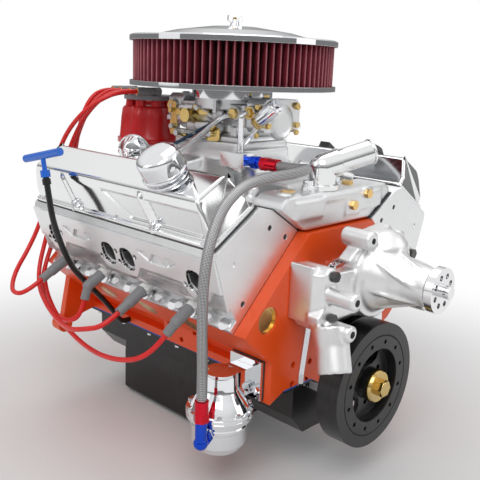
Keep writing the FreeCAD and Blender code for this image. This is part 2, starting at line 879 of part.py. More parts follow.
def valve_cover_gaskets():
    solids = []
    width = rail_axes()[2]
    thick = size("cover_gasket_thickness")
    for side in (DRIVER, PASSENGER):
        start, end = cover_span(side)
        outer = prism(on_rail(side, [(0.5, 0), (width - 0.5, 0), (width - 0.5, thick), (0.5, thick)]), start, end)
        inner = prism(on_rail(side, [(11, -1), (width - 11, -1), (width - 11, thick + 1), (11, thick + 1)]),
                      start + 11, end - 11)
        solids.append(outer.cut(inner))
    return together(solids)


def valve_cover_bolts():
    solids = []
    width = rail_axes()[2]
    seat_high = size("cover_gasket_thickness") + size("cover_flange_thickness")
    for side in (DRIVER, PASSENGER):
        start, end = cover_span(side)
        lift = rail_vector(side, 0, 1) - rail_vector(side, 0, 0)
        for i in range(5):
            y = start + 20 + i * (end - start - 40) / 4
            solids.append(hexagon(rail_vector(side, width - 3.2, seat_high, y), lift, 4.5, 3))
    return together(solids)


def breather_cap():
    """A push-in breather: round cap on a neck that drops into the cover."""
    y = station(size("breather_station"))
    top = size("cover_gasket_thickness") + size("cover_height")
    stem = rod(rail_vector(PASSENGER, 42, top - 12, y), rail_vector(PASSENGER, 42, top + 12, y), breather_neck())
    cap = rod(rail_vector(PASSENGER, 42, top + 10, y), rail_vector(PASSENGER, 42, top + size("breather_height"), y),
              size("breather_radius"))
    return stem.fuse(cap).removeSplitter()


# --- intake manifold, thermostat housing and plugs -----------------------------------------------

def gasket_line(side, clear):
    """The lower and upper end of the intake face, moved out of the head by a clearance."""
    rise, run = 70, 15
    lean = math.hypot(rise, run)

    def face_point(along):
        return bank_point(side, head_deck() + along + run / lean * clear,
                          -size("deck_inner") + along * run / rise - rise / lean * clear)

    return face_point(1), face_point(68)


def beyond_intake_face(side):
    """The room on the head's side of the intake face, for trimming what reaches past it."""
    low, high = gasket_line(side, size("intake_gasket_thickness"))
    across, rise = high[0] - low[0], high[1] - low[1]
    bottom, top = (low[0] - across, low[1] - rise), (high[0] + across, high[1] + rise)
    outline = [bottom, top, (top[0] + side * 160, top[1]), (bottom[0] + side * 160, bottom[1])]
    return prism(outline, station(-10), station(size("block_length") + 10))


def intake_manifold():
    low, high = gasket_line(DRIVER, size("intake_gasket_thickness"))
    front, rear = station(size("intake_front_station")), station(size("block_length") - 12)
    top, pad = size("crossover_top_height"), size("carburettor_pad_height")
    middle = station(size("carburettor_station"))

    def both(half):
        return half + [(-x, z) for x, z in reversed(half)]

    crossover = prism(both([low, high, (high[0] - 4, high[1] + 9), (126, top)]), front, front + 58)
    floor = prism(both([low, high, (high[0] - 8, high[1] + 10), (112, 278), (70, 268)]), front + 50, rear)
    plenum = prism(both([(62, 262), (66, 300), (60, pad - 12)]), middle - 84, middle + 84)
    flange = block_of(-64, 64, middle - 78, middle + 78, pad - 12, pad)
    parts = [floor, plenum, flange, block_of(-62, 62, front + 58, middle - 80, 262, top + 6)]
    for side in (DRIVER, PASSENGER):
        ports = intake_port_stations(side)
        for y, reach in ((ports[0], -40), (ports[1], -14), (ports[2], 14), (ports[3], 40)):
            inner_y = middle + reach
            parts.append(runner(side, y, inner_y, low, high, pad))
    shaft_x, shaft_y = size("distributor_offset"), station(size("distributor_station"))
    parts.append(rod((shaft_x, shaft_y, 262), (shaft_x, shaft_y, size("distributor_seat_height")), 30))
    for x, z in plug_bosses():
        parts.append(rod((x, front - 3, z), (x, front + 12, z), 13))
    casting = crossover
    for part in parts:
        casting = casting.fuse(part)
    cuts = [rod((shaft_x, shaft_y, 240), (shaft_x, shaft_y, 300), 17)]
    cuts += [beyond_intake_face(side) for side in (DRIVER, PASSENGER)]
    for x, y in barrel_centres():
        cuts.append(rod((x, y, pad - 34), (x, y, pad + 1), size("throttle_bore_radius") + 1))
    for side in (DRIVER, PASSENGER):
        for y in intake_port_stations(side):
            outline = [bank_point(side, head_deck() + 16, -size("deck_inner") + 8),
                       bank_point(side, head_deck() + 54, -size("deck_inner") + 8),
                       bank_point(side, head_deck() + 54, -size("deck_inner") - 18),
                       bank_point(side, head_deck() + 26, -size("deck_inner") - 14)]
            cuts.append(prism(outline, y - 14, y + 14))
    x, y, z = thermostat_seat()
    cuts.append(rod((x, y, z - 30), (x, y, z + 1), 22))
    return casting.cut(cuts).removeSplitter()


def runner(side, port_y, plenum_y, low, high, pad):
    """One runner, lofted from the plenum side to its port on the flange."""
    def frame(x0, z0, x1, z1, y, half):
        return Part.makePolygon([Vector(side * x0, y - half, z0), Vector(side * x0, y + half, z0),
                                 Vector(side * x1, y + half, z1), Vector(side * x1, y - half, z1),
                                 Vector(side * x0, y - half, z0)])

    inside = frame(58, 282, 58, pad - 30, plenum_y, 17)
    middle = frame(84, 268, 92, pad - 47, (port_y + plenum_y) / 2, 17)
    outside = frame(low[0] + 26, low[1] + 14, high[0] - 3, high[1] + 6, port_y, 17)
    return Part.makeLoft([inside, middle, outside], True, True)


def plug_bosses():
    return [(32, 271), (70, 286)]


def intake_gaskets():
    solids = []
    start_clear, end_clear = 0.0, size("intake_gasket_thickness")
    for side in (DRIVER, PASSENGER):
        low, high = gasket_line(side, start_clear)
        low_face, high_face = gasket_line(side, end_clear)
        start = bank_front(side) + 4
        plate = prism([low, high, high_face, low_face], start, start + size("head_length") - 8)
        windows = []
        for y in intake_port_stations(side):
            outline = [bank_point(side, head_deck() + 16, -size("deck_inner") + 20),
                       bank_point(side, head_deck() + 56, -size("deck_inner") + 24),
                       bank_point(side, head_deck() + 56, -size("deck_inner") - 8),
                       bank_point(side, head_deck() + 16, -size("deck_inner") - 12)]
            windows.append(prism(outline, y - 14.5, y + 14.5))
        solids.append(plate.cut(windows))
    return together(solids)


def intake_bolts():
    """Six bolts down each side, square to the sloping flange top."""
    solids = []
    low, high = gasket_line(DRIVER, size("intake_gasket_thickness"))
    slope = Vector(high[1] + 10 - 278, 0, high[0] - 8 - 112).normalize()
    for side in (DRIVER, PASSENGER):
        ports = intake_port_stations(side)
        lift = Vector(-side * slope.x, 0, slope.z)
        middle = (ports[1] + ports[2]) / 2
        for y in (ports[0] - 24, middle - 26, middle + 26, ports[3] + 24):
            seat = (side * ((high[0] - 8 + 112) / 2), y, (high[1] + 10 + 278) / 2)
            solids.append(hexagon(seat, lift, 14, 8))
    return together(solids)


def thermostat_seat():
    return (-15, station(36), size("crossover_top_height"))


NECK_DIRECTION = (0.85, -0.45, 0.28)


def thermostat_housing():
    """Two-bolt flange, a domed elbow and a hose neck that leans forward and up."""
    x, y, z = thermostat_seat()
    flange = rod((x, y, z), (x, y, z + 8), 27).fuse([
        rod((x - 34, y, z), (x - 34, y, z + 8), 10), rod((x + 34, y, z), (x + 34, y, z + 8), 10),
        block_of(x - 34, x + 34, y - 10, y + 10, z, z + 8)])
    reach = Vector(*NECK_DIRECTION).normalize()
    centre = Vector(x, y, z + 34)
    outer = size("neck_outer_radius")
    tip = centre + reach * 88
    dome = Part.makeSphere(outer + 3, centre)
    riser = rod((x, y, z + 8), (x, y, z + 34), outer + 3)
    shoulder = rod(centre, centre + reach * size("neck_shoulder"), outer + 3)
    neck = rod(centre, tip, outer)
    bore = rod(tip - reach * 60, tip + reach, size("neck_inner_radius"))
    inlet = rod((x, y, z - 1), (x, y, z + 28), size("neck_inner_radius"))
    return flange.fuse([riser, dome, shoulder, neck]).cut([bore, inlet]).removeSplitter()


def thermostat_bolts():
    x, y, z = thermostat_seat()
    return together(hexagon((x + side * 34, y, z + 8), (0, 0, 1), 14, 8) for side in (-1, 1))


def brass_plugs():
    front = station(size("intake_front_station")) - 3
    solids = [hexagon((x, front, z), (0, -1, 0), 14, 5) for x, z in plug_bosses()]
    solids.append(hexagon((60, station(40), size("crossover_top_height")), (0, 0, 1), 16, 6))
    solids.append(hexagon((-104, station(30), size("crossover_top_height")), (0, 0, 1), 19, 7))
    return together(solids)


# --- carburettor and air cleaner -----------------------------------------------------------------

def barrel_centres():
    middle = station(size("carburettor_station"))
    half_x, half_y = size("barrel_spacing_x") / 2, size("barrel_spacing_y") / 2
    return [(x, middle + y) for x in (-half_x, half_x) for y in (-half_y, half_y)]


def horn_floor():
    return size("carburettor_pad_height") + 44


def throttle_height():
    return size("carburettor_pad_height") + 16


def choke_height():
    return horn_floor() + 18


def carburettor_body():
    """Four-barrel body: base plate, main body, air horn, four bores, throttle and choke shaft bores."""
    pad, middle = size("carburettor_pad_height"), station(size("carburettor_station"))
    top = pad + size("carburettor_height")
    base = block_of(-62, 62, middle - 76, middle + 76, pad, pad + 8)
    lower = block_of(-52, 52, middle - 62, middle + 62, pad + 8, pad + 24)
    main = block_of(-48, 48, middle - 78, middle + 78, pad + 24, pad + 60)
    horn = rod((0, middle, pad + 50), (0, middle, top), 64)
    casting = base.fuse([lower, main, horn])
    clear = size("shaft_clearance")
    cuts = [rod((0, middle, horn_floor()), (0, middle, top + 1), 59)]
    for x, y in barrel_centres():
        cuts.append(rod((x, y, pad - 1), (x, y, horn_floor() + 1), size("throttle_bore_radius")))
    shaft = size("throttle_shaft_radius") + clear
    for y in throttle_lines():
        cuts.append(rod((-70, y, throttle_height()), (70, y, throttle_height()), shaft))
    choke_y = throttle_lines()[0]
    cuts.append(rod((-70, choke_y, choke_height()), (70, choke_y, choke_height()), 3 + clear))
    return casting.cut(cuts).removeSplitter()


def throttle_lines():
    """The Y of the primary and the secondary throttle shaft."""
    middle = station(size("carburettor_station"))
    half = size("barrel_spacing_y") / 2
    return middle - half, middle + half


def throttle(y, lever_side):
    """A shaft with two round plates and a lever on one end."""
    z = throttle_height()
    half = 56
    shaft = rod((-half, y, z), (half, y, z), size("throttle_shaft_radius"))
    thick = size("throttle_plate_thickness")
    plates = [rod((x, y, z - thick / 2), (x, y, z + thick / 2), size("throttle_bore_radius") - 0.4)
              for x in (-size("barrel_spacing_x") / 2, size("barrel_spacing_x") / 2)]
    lever_x = lever_side * (half + 1.5)
    left, right = sorted((lever_side * half, lever_side * (half + 3)))
    lever = prism([(left, z - 4), (right, z - 4), (right, z + 22), (left, z + 22)], y - 5, y + 5)
    pin = rod((lever_x, y, z + 16), (lever_x + lever_side * 7, y, z + 16), 2.5)
    return shaft.fuse(plates + [lever, pin]).removeSplitter()


def choke_plate():
    y, z = throttle_lines()[0], choke_height()
    plate = block_of(-32, 32, y - 16, y + 16, z - 0.8, z + 0.8)
    shaft = rod((-66.5, y, z), (66.5, y, z), 3)
    lever = block_of(-69.5, -66.5, y - 4, y + 4, z - 16, z + 4)
    return shaft.fuse([plate, lever]).removeSplitter()


def float_bowls():
    """Front and rear fuel bowl, each with a rounded lid edge."""
    pad, middle = size("carburettor_pad_height"), station(size("carburettor_station"))
    solids = []
    for end in (-1, 1):
        near, far = middle + end * 78, middle + end * 117
        outline = [(-40, pad + 18), (40, pad + 18), (46, pad + 26), (46, pad + 64), (38, pad + 72), (-38, pad + 72),
                   (-46, pad + 64), (-46, pad + 26)]
        bowl = prism(outline, min(near, far), max(near, far))
        solids.append(bowl)
    return together(solids)


def carburettor_fittings():
    """Zinc-plated inlet nuts, bowl screws and the choke pull-off on the passenger's side."""
    pad, middle = size("carburettor_pad_height"), station(size("carburettor_station"))
    solids = []
    for end in (-1, 1):
        face = middle + end * 117
        for x in (-36, 36):
            for z in (pad + 30, pad + 60):
                solids.append(hexagon((x, face, z), (0, end, 0), 9, 5))
    solids.append(hexagon((-46, middle - 96, pad + 50), (-1, 0, 0), 19, 12))
    solids.append(hexagon((-46, middle + 96, pad + 50), (-1, 0, 0), 19, 12))
    solids.append(rod((-48, middle + 44, pad + 37), (-72, middle + 44, pad + 37), 12))
    return together(solids)


def air_cleaner_base():
    """Pressed pan: a seat on the carburettor's horn, a neck and a flat dish with a raised rim."""
    body = body_named("air_cleaner_base")
    outline = sketch_on(body, "XZ_Plane", FRONT_WORDS + " - carburettor_station")
    seat = "carburettor_pad_height + carburettor_height"
    rim = "air_cleaner_radius"
    polygon(outline, [
        ("58", seat), ("66", seat), ("66", seat + " - 14"), ("70", seat + " - 14"), ("70", seat + " + 1"),
        ("76", seat + " + 4"), (rim, seat + " + 4"), (rim, seat + " + 12"), (rim + " - 3", seat + " + 12"),
        (rim + " - 3", seat + " + 4 + air_cleaner_base_thickness"), ("74", seat + " + 4 + air_cleaner_base_thickness"),
        ("66", seat + " + 3"), ("58", seat + " + 3"),
    ])
    revolve(body, outline)


def element_seat():
    return size("carburettor_pad_height") + size("carburettor_height") + 4 + size("air_cleaner_base_thickness")


def air_filter_element():
    """A ring of folded pleats between two flat end bands."""
    middle = station(size("carburettor_station"))
    outer, depth = size("element_radius"), size("element_depth")
    pleats = int(size("element_pleats"))
    low, high = element_seat(), element_seat() + size("element_height")
    outline = []
    for fold in range(pleats):
        for share, reach in ((-0.3, outer - 5), (0, outer)):
            turn = 2 * math.pi * (fold + share) / pleats
            outline.append((reach * math.cos(turn), middle + reach * math.sin(turn)))
    ring_body = slab(outline, low + 5, high - 5)
    bands = [rod((0, middle, low), (0, middle, low + 5), outer), rod((0, middle, high - 5), (0, middle, high), outer)]
    return ring_body.fuse(bands).cut(rod((0, middle, low - 1), (0, middle, high + 1), outer - depth)).removeSplitter()


def air_cleaner_lid():
    """A spun lid: shallow dome in the middle, flat seat over the element and a rolled rim."""
    body = body_named("air_cleaner_lid")
    outline = sketch_on(body, "XZ_Plane", FRONT_WORDS + " - carburettor_station")
    seat = ("carburettor_pad_height + carburettor_height + 4 + air_cleaner_base_thickness + element_height")
    rim = "air_cleaner_radius"
    polygon(outline, [
        ("stud_radius + shaft_clearance", seat + " + lid_dome"), ("42", seat + " + lid_dome - 2"),
        ("100", seat + " + lid_dome - 10"), ("140", seat), (rim + " - 3", seat), (rim + " - 3", seat + " - 6"),
        (rim, seat + " - 6"), (rim, seat + " + 2"), (rim + " - 4", seat + " + 4"), ("142", seat + " + 4"),
        ("100", seat + " + lid_dome - 7"), ("42", seat + " + lid_dome + 1"),
        ("stud_radius + shaft_clearance", seat + " + lid_dome + 3"),
    ])
    revolve(body, outline)


def lid_top():
    return element_seat() + size("element_height") + size("lid_dome") + 3


def air_cleaner_stud():
    middle = station(size("carburettor_station"))
    return rod((0, middle, horn_floor()), (0, middle, lid_top() + 14), size("stud_radius"))


def wing_nut():
    """A hub with two wings, free to turn on the stud."""
    middle = station(size("carburettor_station"))
    low = lid_top()
    hub = taper((0, middle, low), (0, middle, low + 10), 8, 6)
    wings = [prism([(side * 4, low + 3), (side * 17, low + 9), (side * 16, low + 17), (side * 4, low + 9)],
                   middle - 1.6, middle + 1.6) for side in (-1, 1)]
    bore = rod((0, middle, low - 1), (0, middle, low + 12), size("stud_radius") + size("shaft_clearance"))
    return hub.fuse(wings).cut(bore).removeSplitter()


# --- distributor ---------------------------------------------------------------------------------

def distributor_axis():
    return size("distributor_offset"), station(size("distributor_station"))


def distributor_housing():
    """The stem goes down through the manifold; the bowl carries the cap."""
    x, y = distributor_axis()
    seat, bottom = size("distributor_seat_height"), size("distributor_cap_bottom")
    radius = size("distributor_cap_radius")
    stem = rod((x, y, size("cam_height") + 19.2), (x, y, seat), 16.5)
    collar = rod((x, y, seat), (x, y, bottom - 26), 22)
    bowl = taper((x, y, bottom - 26), (x, y, bottom - 12), 30, radius - 4)
    edge = rod((x, y, bottom - 12), (x, y, bottom), radius - 4)
    bore = rod((x, y, size("cam_height") + 15.2), (x, y, bottom), 6.3 + size("shaft_clearance"))
    well = rod((x, y, bottom - 9), (x, y, bottom + 1), radius - 8)
    return stem.fuse([collar, bowl, edge]).cut([bore, well]).removeSplitter()


def tower_points():
    x, y = distributor_axis()
    return [(x + 38 * math.cos(math.radians(45 * i + 22.5)), y + 38 * math.sin(math.radians(45 * i + 22.5)))
            for i in range(8)]


def distributor_cap():
    x, y = distributor_axis()
    low, high, radius = size("distributor_cap_bottom"), size("distributor_cap_top"), size("distributor_cap_radius")
    shell = taper((x, y, low), (x, y, high - 12), radius, radius - 6)
    towers = [rod((tx, ty, high - 14), (tx, ty, high), 9) for tx, ty in tower_points()]
    inside = taper((x, y, low - 1), (x, y, high - 26), radius - 4, radius - 9)
    return shell.fuse(towers).cut(inside).removeSplitter()


def distributor_rotor():
    """Shaft with its gear beside the camshaft, the rotor arm on top under the cap."""
    x, y = distributor_axis()
    cam = size("cam_height")
    shaft = rod((x, y, cam - 8), (x, y, size("distributor_cap_bottom") + 18), 6.3)
    gear = rod((x, y, cam - 8), (x, y, cam + 14), 11.5)
    arm = block_of(x - 10, x + 40, y - 9, y + 9, size("distributor_cap_bottom") + 10, size("distributor_cap_bottom") + 22)
    return shaft.fuse([gear, arm]).removeSplitter()


VACUUM_DIRECTION = (-0.86, -0.51, 0)


def vacuum_advance():
    """A round can on the side of the distributor bowl, with a hose nipple in its middle."""
    x, y = distributor_axis()
    z = size("distributor_cap_bottom") - 10
    reach = Vector(*VACUUM_DIRECTION).normalize()
    centre = Vector(x, y, z)
    arm = rod(centre + reach * (size("distributor_cap_radius") - 4), centre + reach * 76, 7)
    back = taper(centre + reach * 72, centre + reach * 80, 20, 29)
    front = taper(centre + reach * 80, centre + reach * 94, 29, 18)
    nipple = rod(centre + reach * 94, centre + reach * 104, 4.5)
    return arm.fuse([back, front, nipple]).removeSplitter()


# --- front of the engine: timing cover, water pump, balancer -------------------------------------

def cover_round():
    """Outer radius of the timing cover about the camshaft."""
    return size("cam_sprocket_radius") + size("chain_thickness") + 5


def timing_cover():
    """Pressed cover over the timing set: round about the cam, straight cheeks, round about the seal."""
    start, end = station(-size("timing_cover_depth")), station(0)
    wide, cam, wall = cover_round(), size("cam_height"), size("timing_cover_wall")

    def shell(inset, near, far):
        radius = wide - inset
        cheeks = [(-radius, cam), (-86 + inset, 16), (-86 + inset, inset), (86 - inset, inset),
                  (86 - inset, 16), (radius, cam)]
        low = rod((0, near, 0), (0, far, 0), size("cover_foot_radius") - inset)
        return rod((0, near, cam), (0, far, cam), radius).fuse([prism(cheeks, near, far), low])

    below = block_of(-120, 120, start - 1, end + 40, -90, 0)
    flange = shell(-6, end - 3, end).cut(below)
    foot = rod((0, end - 1, 0), (0, end + 9, 0), size("cover_foot_radius")).common(below)
    cover = shell(0, start, end).fuse([flange, foot])
    seal = rod((0, start, 0), (0, start + 8, 0), size("balancer_hub_radius") + 7)
    hollow = shell(wall, start + wall, end + 1)
    lower_way = rod((0, end - 1, 0), (0, end + 10, 0), size("cover_foot_radius") - wall)
    hub_way = rod((0, start - 1, 0), (0, end, 0), size("balancer_hub_radius") + size("free_clearance"))
    return cover.cut([hollow, lower_way]).fuse(seal).cut(hub_way).removeSplitter()


def timing_cover_bolts():
    seat = station(-3)
    wide, cam = cover_round() + 3.2, size("cam_height")
    spots = [(wide * math.cos(math.radians(a)), cam + wide * math.sin(math.radians(a))) for a in (20, 70, 110, 160)]
    return together(hexagon((x, seat, z), (0, -1, 0), 5.5, 4) for x, z in spots)


def timing_station():
    """The Y where both sprockets and the chain begin."""
    return station(-13 - size("sprocket_width"))


def crank_sprocket():
    start = timing_station()
    return sprocket(0, 18, size("crank_sprocket_radius"), size("snout_radius") + size("shaft_clearance"), start,
                    start + size("sprocket_width"))


def cam_sprocket():
    """The large sprocket with lightening holes and its three bolts to the camshaft's nose."""
    start, cam = timing_station(), size("cam_height")
    disc = sprocket(cam, 36, size("cam_sprocket_radius"), 8, start, start + size("sprocket_width"))
    for i in range(5):
        turn = 72 * i
        hole = prism([(30, cam - 5), (44, cam - 9), (44, cam + 9), (30, cam + 5)], start - 1, start + 12)
        disc = disc.cut(hole.rotate(Vector(0, 0, cam), Vector(0, 1, 0), turn))
    bolts = [hexagon((14 * math.cos(math.radians(a)), start, cam + 14 * math.sin(math.radians(a))), (0, -1, 0), 11, 5)
             for a in (90, 210, 330)]
    return disc.fuse(bolts).removeSplitter()


def pump_sides():
    """Middle of each leg across the engine, and the height of its middle."""
    height = size("pump_axis_height") - 18
    return [(side * size("pump_leg_offset"), height) for side in (-1, 1)]


def inlet_ends():
    """Middle of the lower hose neck's mouth, and where it leaves the casting."""
    return Vector(-118, station(-88), 56), Vector(-104, station(-66), 112)


def water_pump_housing():
    """Two legs from the block to a volute, webs between, a long bearing snout and the hose neck."""
    axis, face = size("pump_axis_height"), station(0)
    nose, back = station(-74), station(-42)
    half = size("pump_leg_width") / 2
    parts = [rod((0, nose, axis - 8), (0, back, axis - 8), 60)]
    for middle, height in pump_sides():
        outward = math.copysign(1, middle)
        leg = prism([(middle - half, height - 44), (middle + half, height - 38), (middle + half, height + 38),
                     (middle - half, height + 44)], back, face)
        inner = middle - outward * half
        web = slab([(inner, back), (middle + outward * half, back), (middle + outward * (half - 8), face - 58),
                    (outward * 30, nose + 4), (outward * 30, back)], height - 36, height + 34)
        parts += [leg, web]
        for step in (-1, 1):
            level = height + step * size("pump_bolt_spread") / 2
            parts.append(rod((middle, face - 62, level), (middle, face - 10, level), 12))
    crown = [(-70, axis + 30), (-20, axis + 66), (34, axis + 72), (48, axis + 50), (70, axis + 24), (0, axis)]
    parts.append(prism(crown, nose + 8, back))
    sweep = [(-20, axis - 66), (-52, axis - 58), (-126, 120), (-130, 134), (-100, axis - 20), (-30, axis)]
    parts.append(prism(sweep, station(-61), back + 4))
    snout_end = station(-size("hub_face_forward") + size("hub_thickness") + 3)
    parts.append(taper((0, nose, axis), (0, nose - 42, axis), 46, 30))
    parts.append(rod((0, nose - 40, axis), (0, snout_end, axis), 28))
    tip, root = inlet_ends()
    direction = (tip - root).normalize()
    parts.append(taper(root - direction * 6, tip - direction * 40, 30, size("pump_inlet_radius")))
    parts.append(rod(tip - direction * 42, tip, size("pump_inlet_radius")))
    casting = parts[0].fuse(parts[1:])
    cuts = [rod((0, back + 60, axis), (0, snout_end - 1, axis), 12.5 + size("shaft_clearance")),
            rod((0, nose + 12, axis - 8), (0, back - 8, axis - 8), 50),
            rod(tip - direction * 42, tip + direction, size("pump_inlet_bore"))]
    for middle, height in pump_sides():
        cuts.append(block_of(middle - 13, middle + 13, face - 30, face + 1, height - 14, height + 14))
    return casting.cut(cuts).removeSplitter()


def water_pump_bolts():
    solids = []
    for middle, height in pump_sides():
        for step in (-1, 1):
            level = height + step * size("pump_bolt_spread") / 2
            solids.append(hexagon((middle, station(-62), level), (0, -1, 0), 14, 9))
    return together(solids)


def water_pump_hub():
    """Shaft, impeller and the drilled hub with its pilot."""
    axis = size("pump_axis_height")
    face = station(-size("hub_face_forward"))
    hub = rod((0, face, axis), (0, face + size("hub_thickness"), axis), size("hub_radius"))
    neck = rod((0, face + size("hub_thickness"), axis), (0, face + size("hub_thickness") + 2.7, axis), 16)
    pilot = rod((0, face - 13, axis), (0, face, axis), size("pilot_radius"))
    impeller_start = station(-60)
    shaft = rod((0, face + 4, axis), (0, impeller_start + 8, axis), 12.5)
    disc = rod((0, impeller_start, axis), (0, impeller_start + 4, axis), 34)
    parts = [neck, pilot, shaft, disc]
    for i in range(6):
        blade = block_of(-2, 2, impeller_start + 3, impeller_start + 10, axis + 10, axis + 33)
        parts.append(blade.rotate(Vector(0, 0, axis), Vector(0, 1, 0), 60 * i))
    whole = hub.fuse(parts)
    holes = []
    for i in range(8):
        turn = math.radians(45 * i + 22.5)
        x, z = size("hub_bolt_circle_radius") * math.cos(turn), axis + size("hub_bolt_circle_radius") * math.sin(turn)
        holes.append(rod((x, face - 1, z), (x, face + size("hub_thickness") + 1, z), size("hub_hole_radius")))
    return whole.cut(holes).removeSplitter()


def snout_front():
    return station(-size("balancer_gap") - size("balancer_thickness") + 12)


def balancer_front():
    return station(-size("balancer_gap") - size("balancer_thickness"))


def harmonic_balancer():
    """Outer ring, rubber groove, drilled web with four windows and a hub on the snout."""
    front, thick = balancer_front(), size("balancer_thickness")
    outer = size("balancer_radius")
    ring_body = rod((0, front, 0), (0, front + thick, 0), outer)
    dish = taper((0, front - 0.1, 0), (0, front + 16, 0), 60, 56)
    back_dish = rod((0, front + 24, 0), (0, front + thick + 1, 0), 72)
    hub = rod((0, front + 2, 0), (0, station(-size("timing_cover_depth")) + 14, 0), size("balancer_hub_radius"))
    groove = rod((0, front - 1, 0), (0, front + 2.5, 0), 83).cut(rod((0, front - 2, 0), (0, front + 3, 0), 80.5))
    body = ring_body.cut([dish, back_dish, groove]).fuse(hub)
    cuts = [rod((0, front, 0), (0, front + 80, 0), size("snout_radius") + 0.01)]
    for i in range(3):
        window = prism([(29, -10), (34, -22), (46, -27), (53, 0), (46, 27), (34, 22), (29, 10)], front + 8, front + 30)
        cuts.append(window.rotate(Vector(0, 0, 0), Vector(0, 1, 0), 120 * i + 30))
    for i in range(12):
        turn = math.radians(30 * i + 15)
        x, z = 71 * math.cos(turn), 71 * math.sin(turn)
        cuts.append(rod((x, front - 1, z), (x, front + 10, z), 3.6))
    for i in range(3):
        turn = math.radians(120 * i + 30)
        x = size("balancer_pulley_circle_radius") * math.cos(turn)
        z = size("balancer_pulley_circle_radius") * math.sin(turn)
        cuts.append(rod((x, front + 1, z), (x, front + 26, z), 4.8))
    return body.cut(cuts).removeSplitter()


def crank_bolt():
    """Thick washer against the balancer hub, with the bolt's hexagon on it."""
    face = balancer_front() + 2
    washer = rod((0, face - 7, 0), (0, face, 0), size("crank_bolt_washer_radius"))
    head = hexagon((0, face - 7, 0), (0, -1, 0), 16, 11)
    shank = rod((0, face, 0), (0, snout_front() - size("free_clearance"), 0), 9)
    return washer.fuse([head, shank]).removeSplitter()


# --- oil pan -------------------------------------------------------------------------------------

def pan_plan(inset):
    half = size("pan_rail_half_width") - inset
    return -half, half, station(inset), station(size("block_length") - inset)


def oil_pan_gasket():
    thick = size("pan_gasket_thickness")
    left, right, front, rear = pan_plan(0)
    plate = block_of(left, right, front, rear, -thick, 0)
    return plate.cut([block_of(left + 27, right - 27, front + 9, rear - 16, -thick - 1, 1)] + pan_arches())


def pan_arches():
    """Round ways through the pan's ends for the timing cover's foot and the rear seal."""
    front = rod((0, station(-1), 0), (0, station(20), 0), size("cover_foot_radius") + size("shaft_clearance"))
    rear = rod((0, station(size("block_length") - 18), 0), (0, station(size("block_length") + 1), 0),
               size("rear_seal_radius") + size("shaft_clearance"))
    return [front, rear]


def rear_main_seal():
    """The seal's ring round the crank flange, half in the block and half in the pan."""
    start, end = station(size("block_length") - 12), station(size("block_length"))
    outer = rod((0, start, 0), (0, end, 0), size("rear_seal_radius"))
    return outer.cut(rod((0, start - 1, 0), (0, end + 1, 0), size("crank_flange_radius") + size("free_clearance")))


def oil_pan():
    """A pressed pan: flat rail, shallow front with rolled corners and the deep sump at the rear."""
    top = -size("pan_gasket_thickness")
    left, right, front, rear = pan_plan(0)
    wall = size("pan_wall")
    depth, sump = size("shallow_pan_depth"), size("sump_depth")
    sump_half = size("sump_half_width")

    def tub(inset, lift):
        half = 96 - inset
        section = [(-half, top + lift), (half, top + lift), (half, -58), (half - 30 + inset / 2, -depth + inset),
                   (-half + 30 - inset / 2, -depth + inset), (-half, -58)]
        shallow = prism(section, front + 3 + inset, rear - 2 - inset)
        start, end = station(size("sump_front_station")) + inset, station(size("sump_rear_station")) - inset
        deep_half = sump_half - inset
        box = prism([(-half, -50), (half, -50), (deep_half, -80), (deep_half, -sump + 12), (deep_half - 12, -sump + inset),
                     (-deep_half + 12, -sump + inset), (-deep_half, -sump + 12), (-deep_half, -80)], start, end)
        return shallow.fuse(box)

    rail = block_of(left, right, front, rear, top - 3, top)
    pan = rail.fuse(tub(0, 0)).cut([tub(wall, 2)] + pan_arches())
    return pan.removeSplitter()


def oil_pan_bolts():
    solids = []
    left, right, front, rear = pan_plan(0)
    seat = -size("pan_gasket_thickness") - 3
    for x in (left + 9, right - 9):
        for i in range(7):
            y = front + 24 + i * (rear - front - 48) / 6
            solids.append(hexagon((x, y, seat), (0, 0, -1), 11, 6))
    return together(solids)


def oil_pump():
    """Pump body under the rear main cap; its pick-up tube runs forward to the bottom of the sump."""
    y = web_stations()[4]
    half = size("main_web_thickness") / 2 - 1.5
    body = block_of(-32, 30, y - half, y + half, -87, -46)
    low, reach = -81, station(size("sump_rear_station") - 70)
    floor = -size("sump_depth")
    tube = rod((0, y, low), (0, reach, low), 6)
    drop = rod((0, reach, low), (0, reach, floor + 24), 6)
    corner = Part.makeSphere(6, Vector(0, reach, low))
    screen = taper((0, reach, floor + 24), (0, reach, floor + 10), 8, 34)
    return body.fuse([tube, corner, drop, screen]).removeSplitter()


# --- fuel pump, log and fittings -----------------------------------------------------------------

def fuel_pump_axis():
    return -size("fuel_pump_reach"), station(size("fuel_pump_station"))


def fuel_pump():
    """Mechanical pump: lower bowl, clamped rim, domed upper body and the arm housing to the block."""
    x, y = fuel_pump_axis()
    radius = size("fuel_pump_radius")
    bowl = taper((x, y, -74), (x, y, -62), radius - 16, radius - 8)
    drum = rod((x, y, -62), (x, y, -24), radius - 8)
    rim = rod((x, y, -24), (x, y, -10), radius)
    dome = taper((x, y, -10), (x, y, 20), radius - 5, 27)
    tower = rod((x, y, 20), (x, y, 46), 25)
    arm = slab([(x, y - 20), (x, y + 20), (-fuel_pad() - 8, y + 17), (-fuel_pad() - 8, y - 17)], 0, 42)
    flange = block_of(-fuel_pad() - 8, -fuel_pad() - 2, y - 32, y + 32, -10, 52)
    port_root = Vector(x, y, elbow_height())
    reach = Vector(hose_drop()[0] - x, hose_drop()[1] - y, 0).normalize()
    port = rod(port_root + reach * (radius - 20), port_root + reach * (radius - 3), 8)
    return bowl.fuse([drum, rim, dome, tower, arm, flange, port]).removeSplitter()


def fuel_pump_gasket():
    _, y = fuel_pump_axis()
    return block_of(-fuel_pad() - 2, -fuel_pad(), y - 33, y + 33, -11, 53)


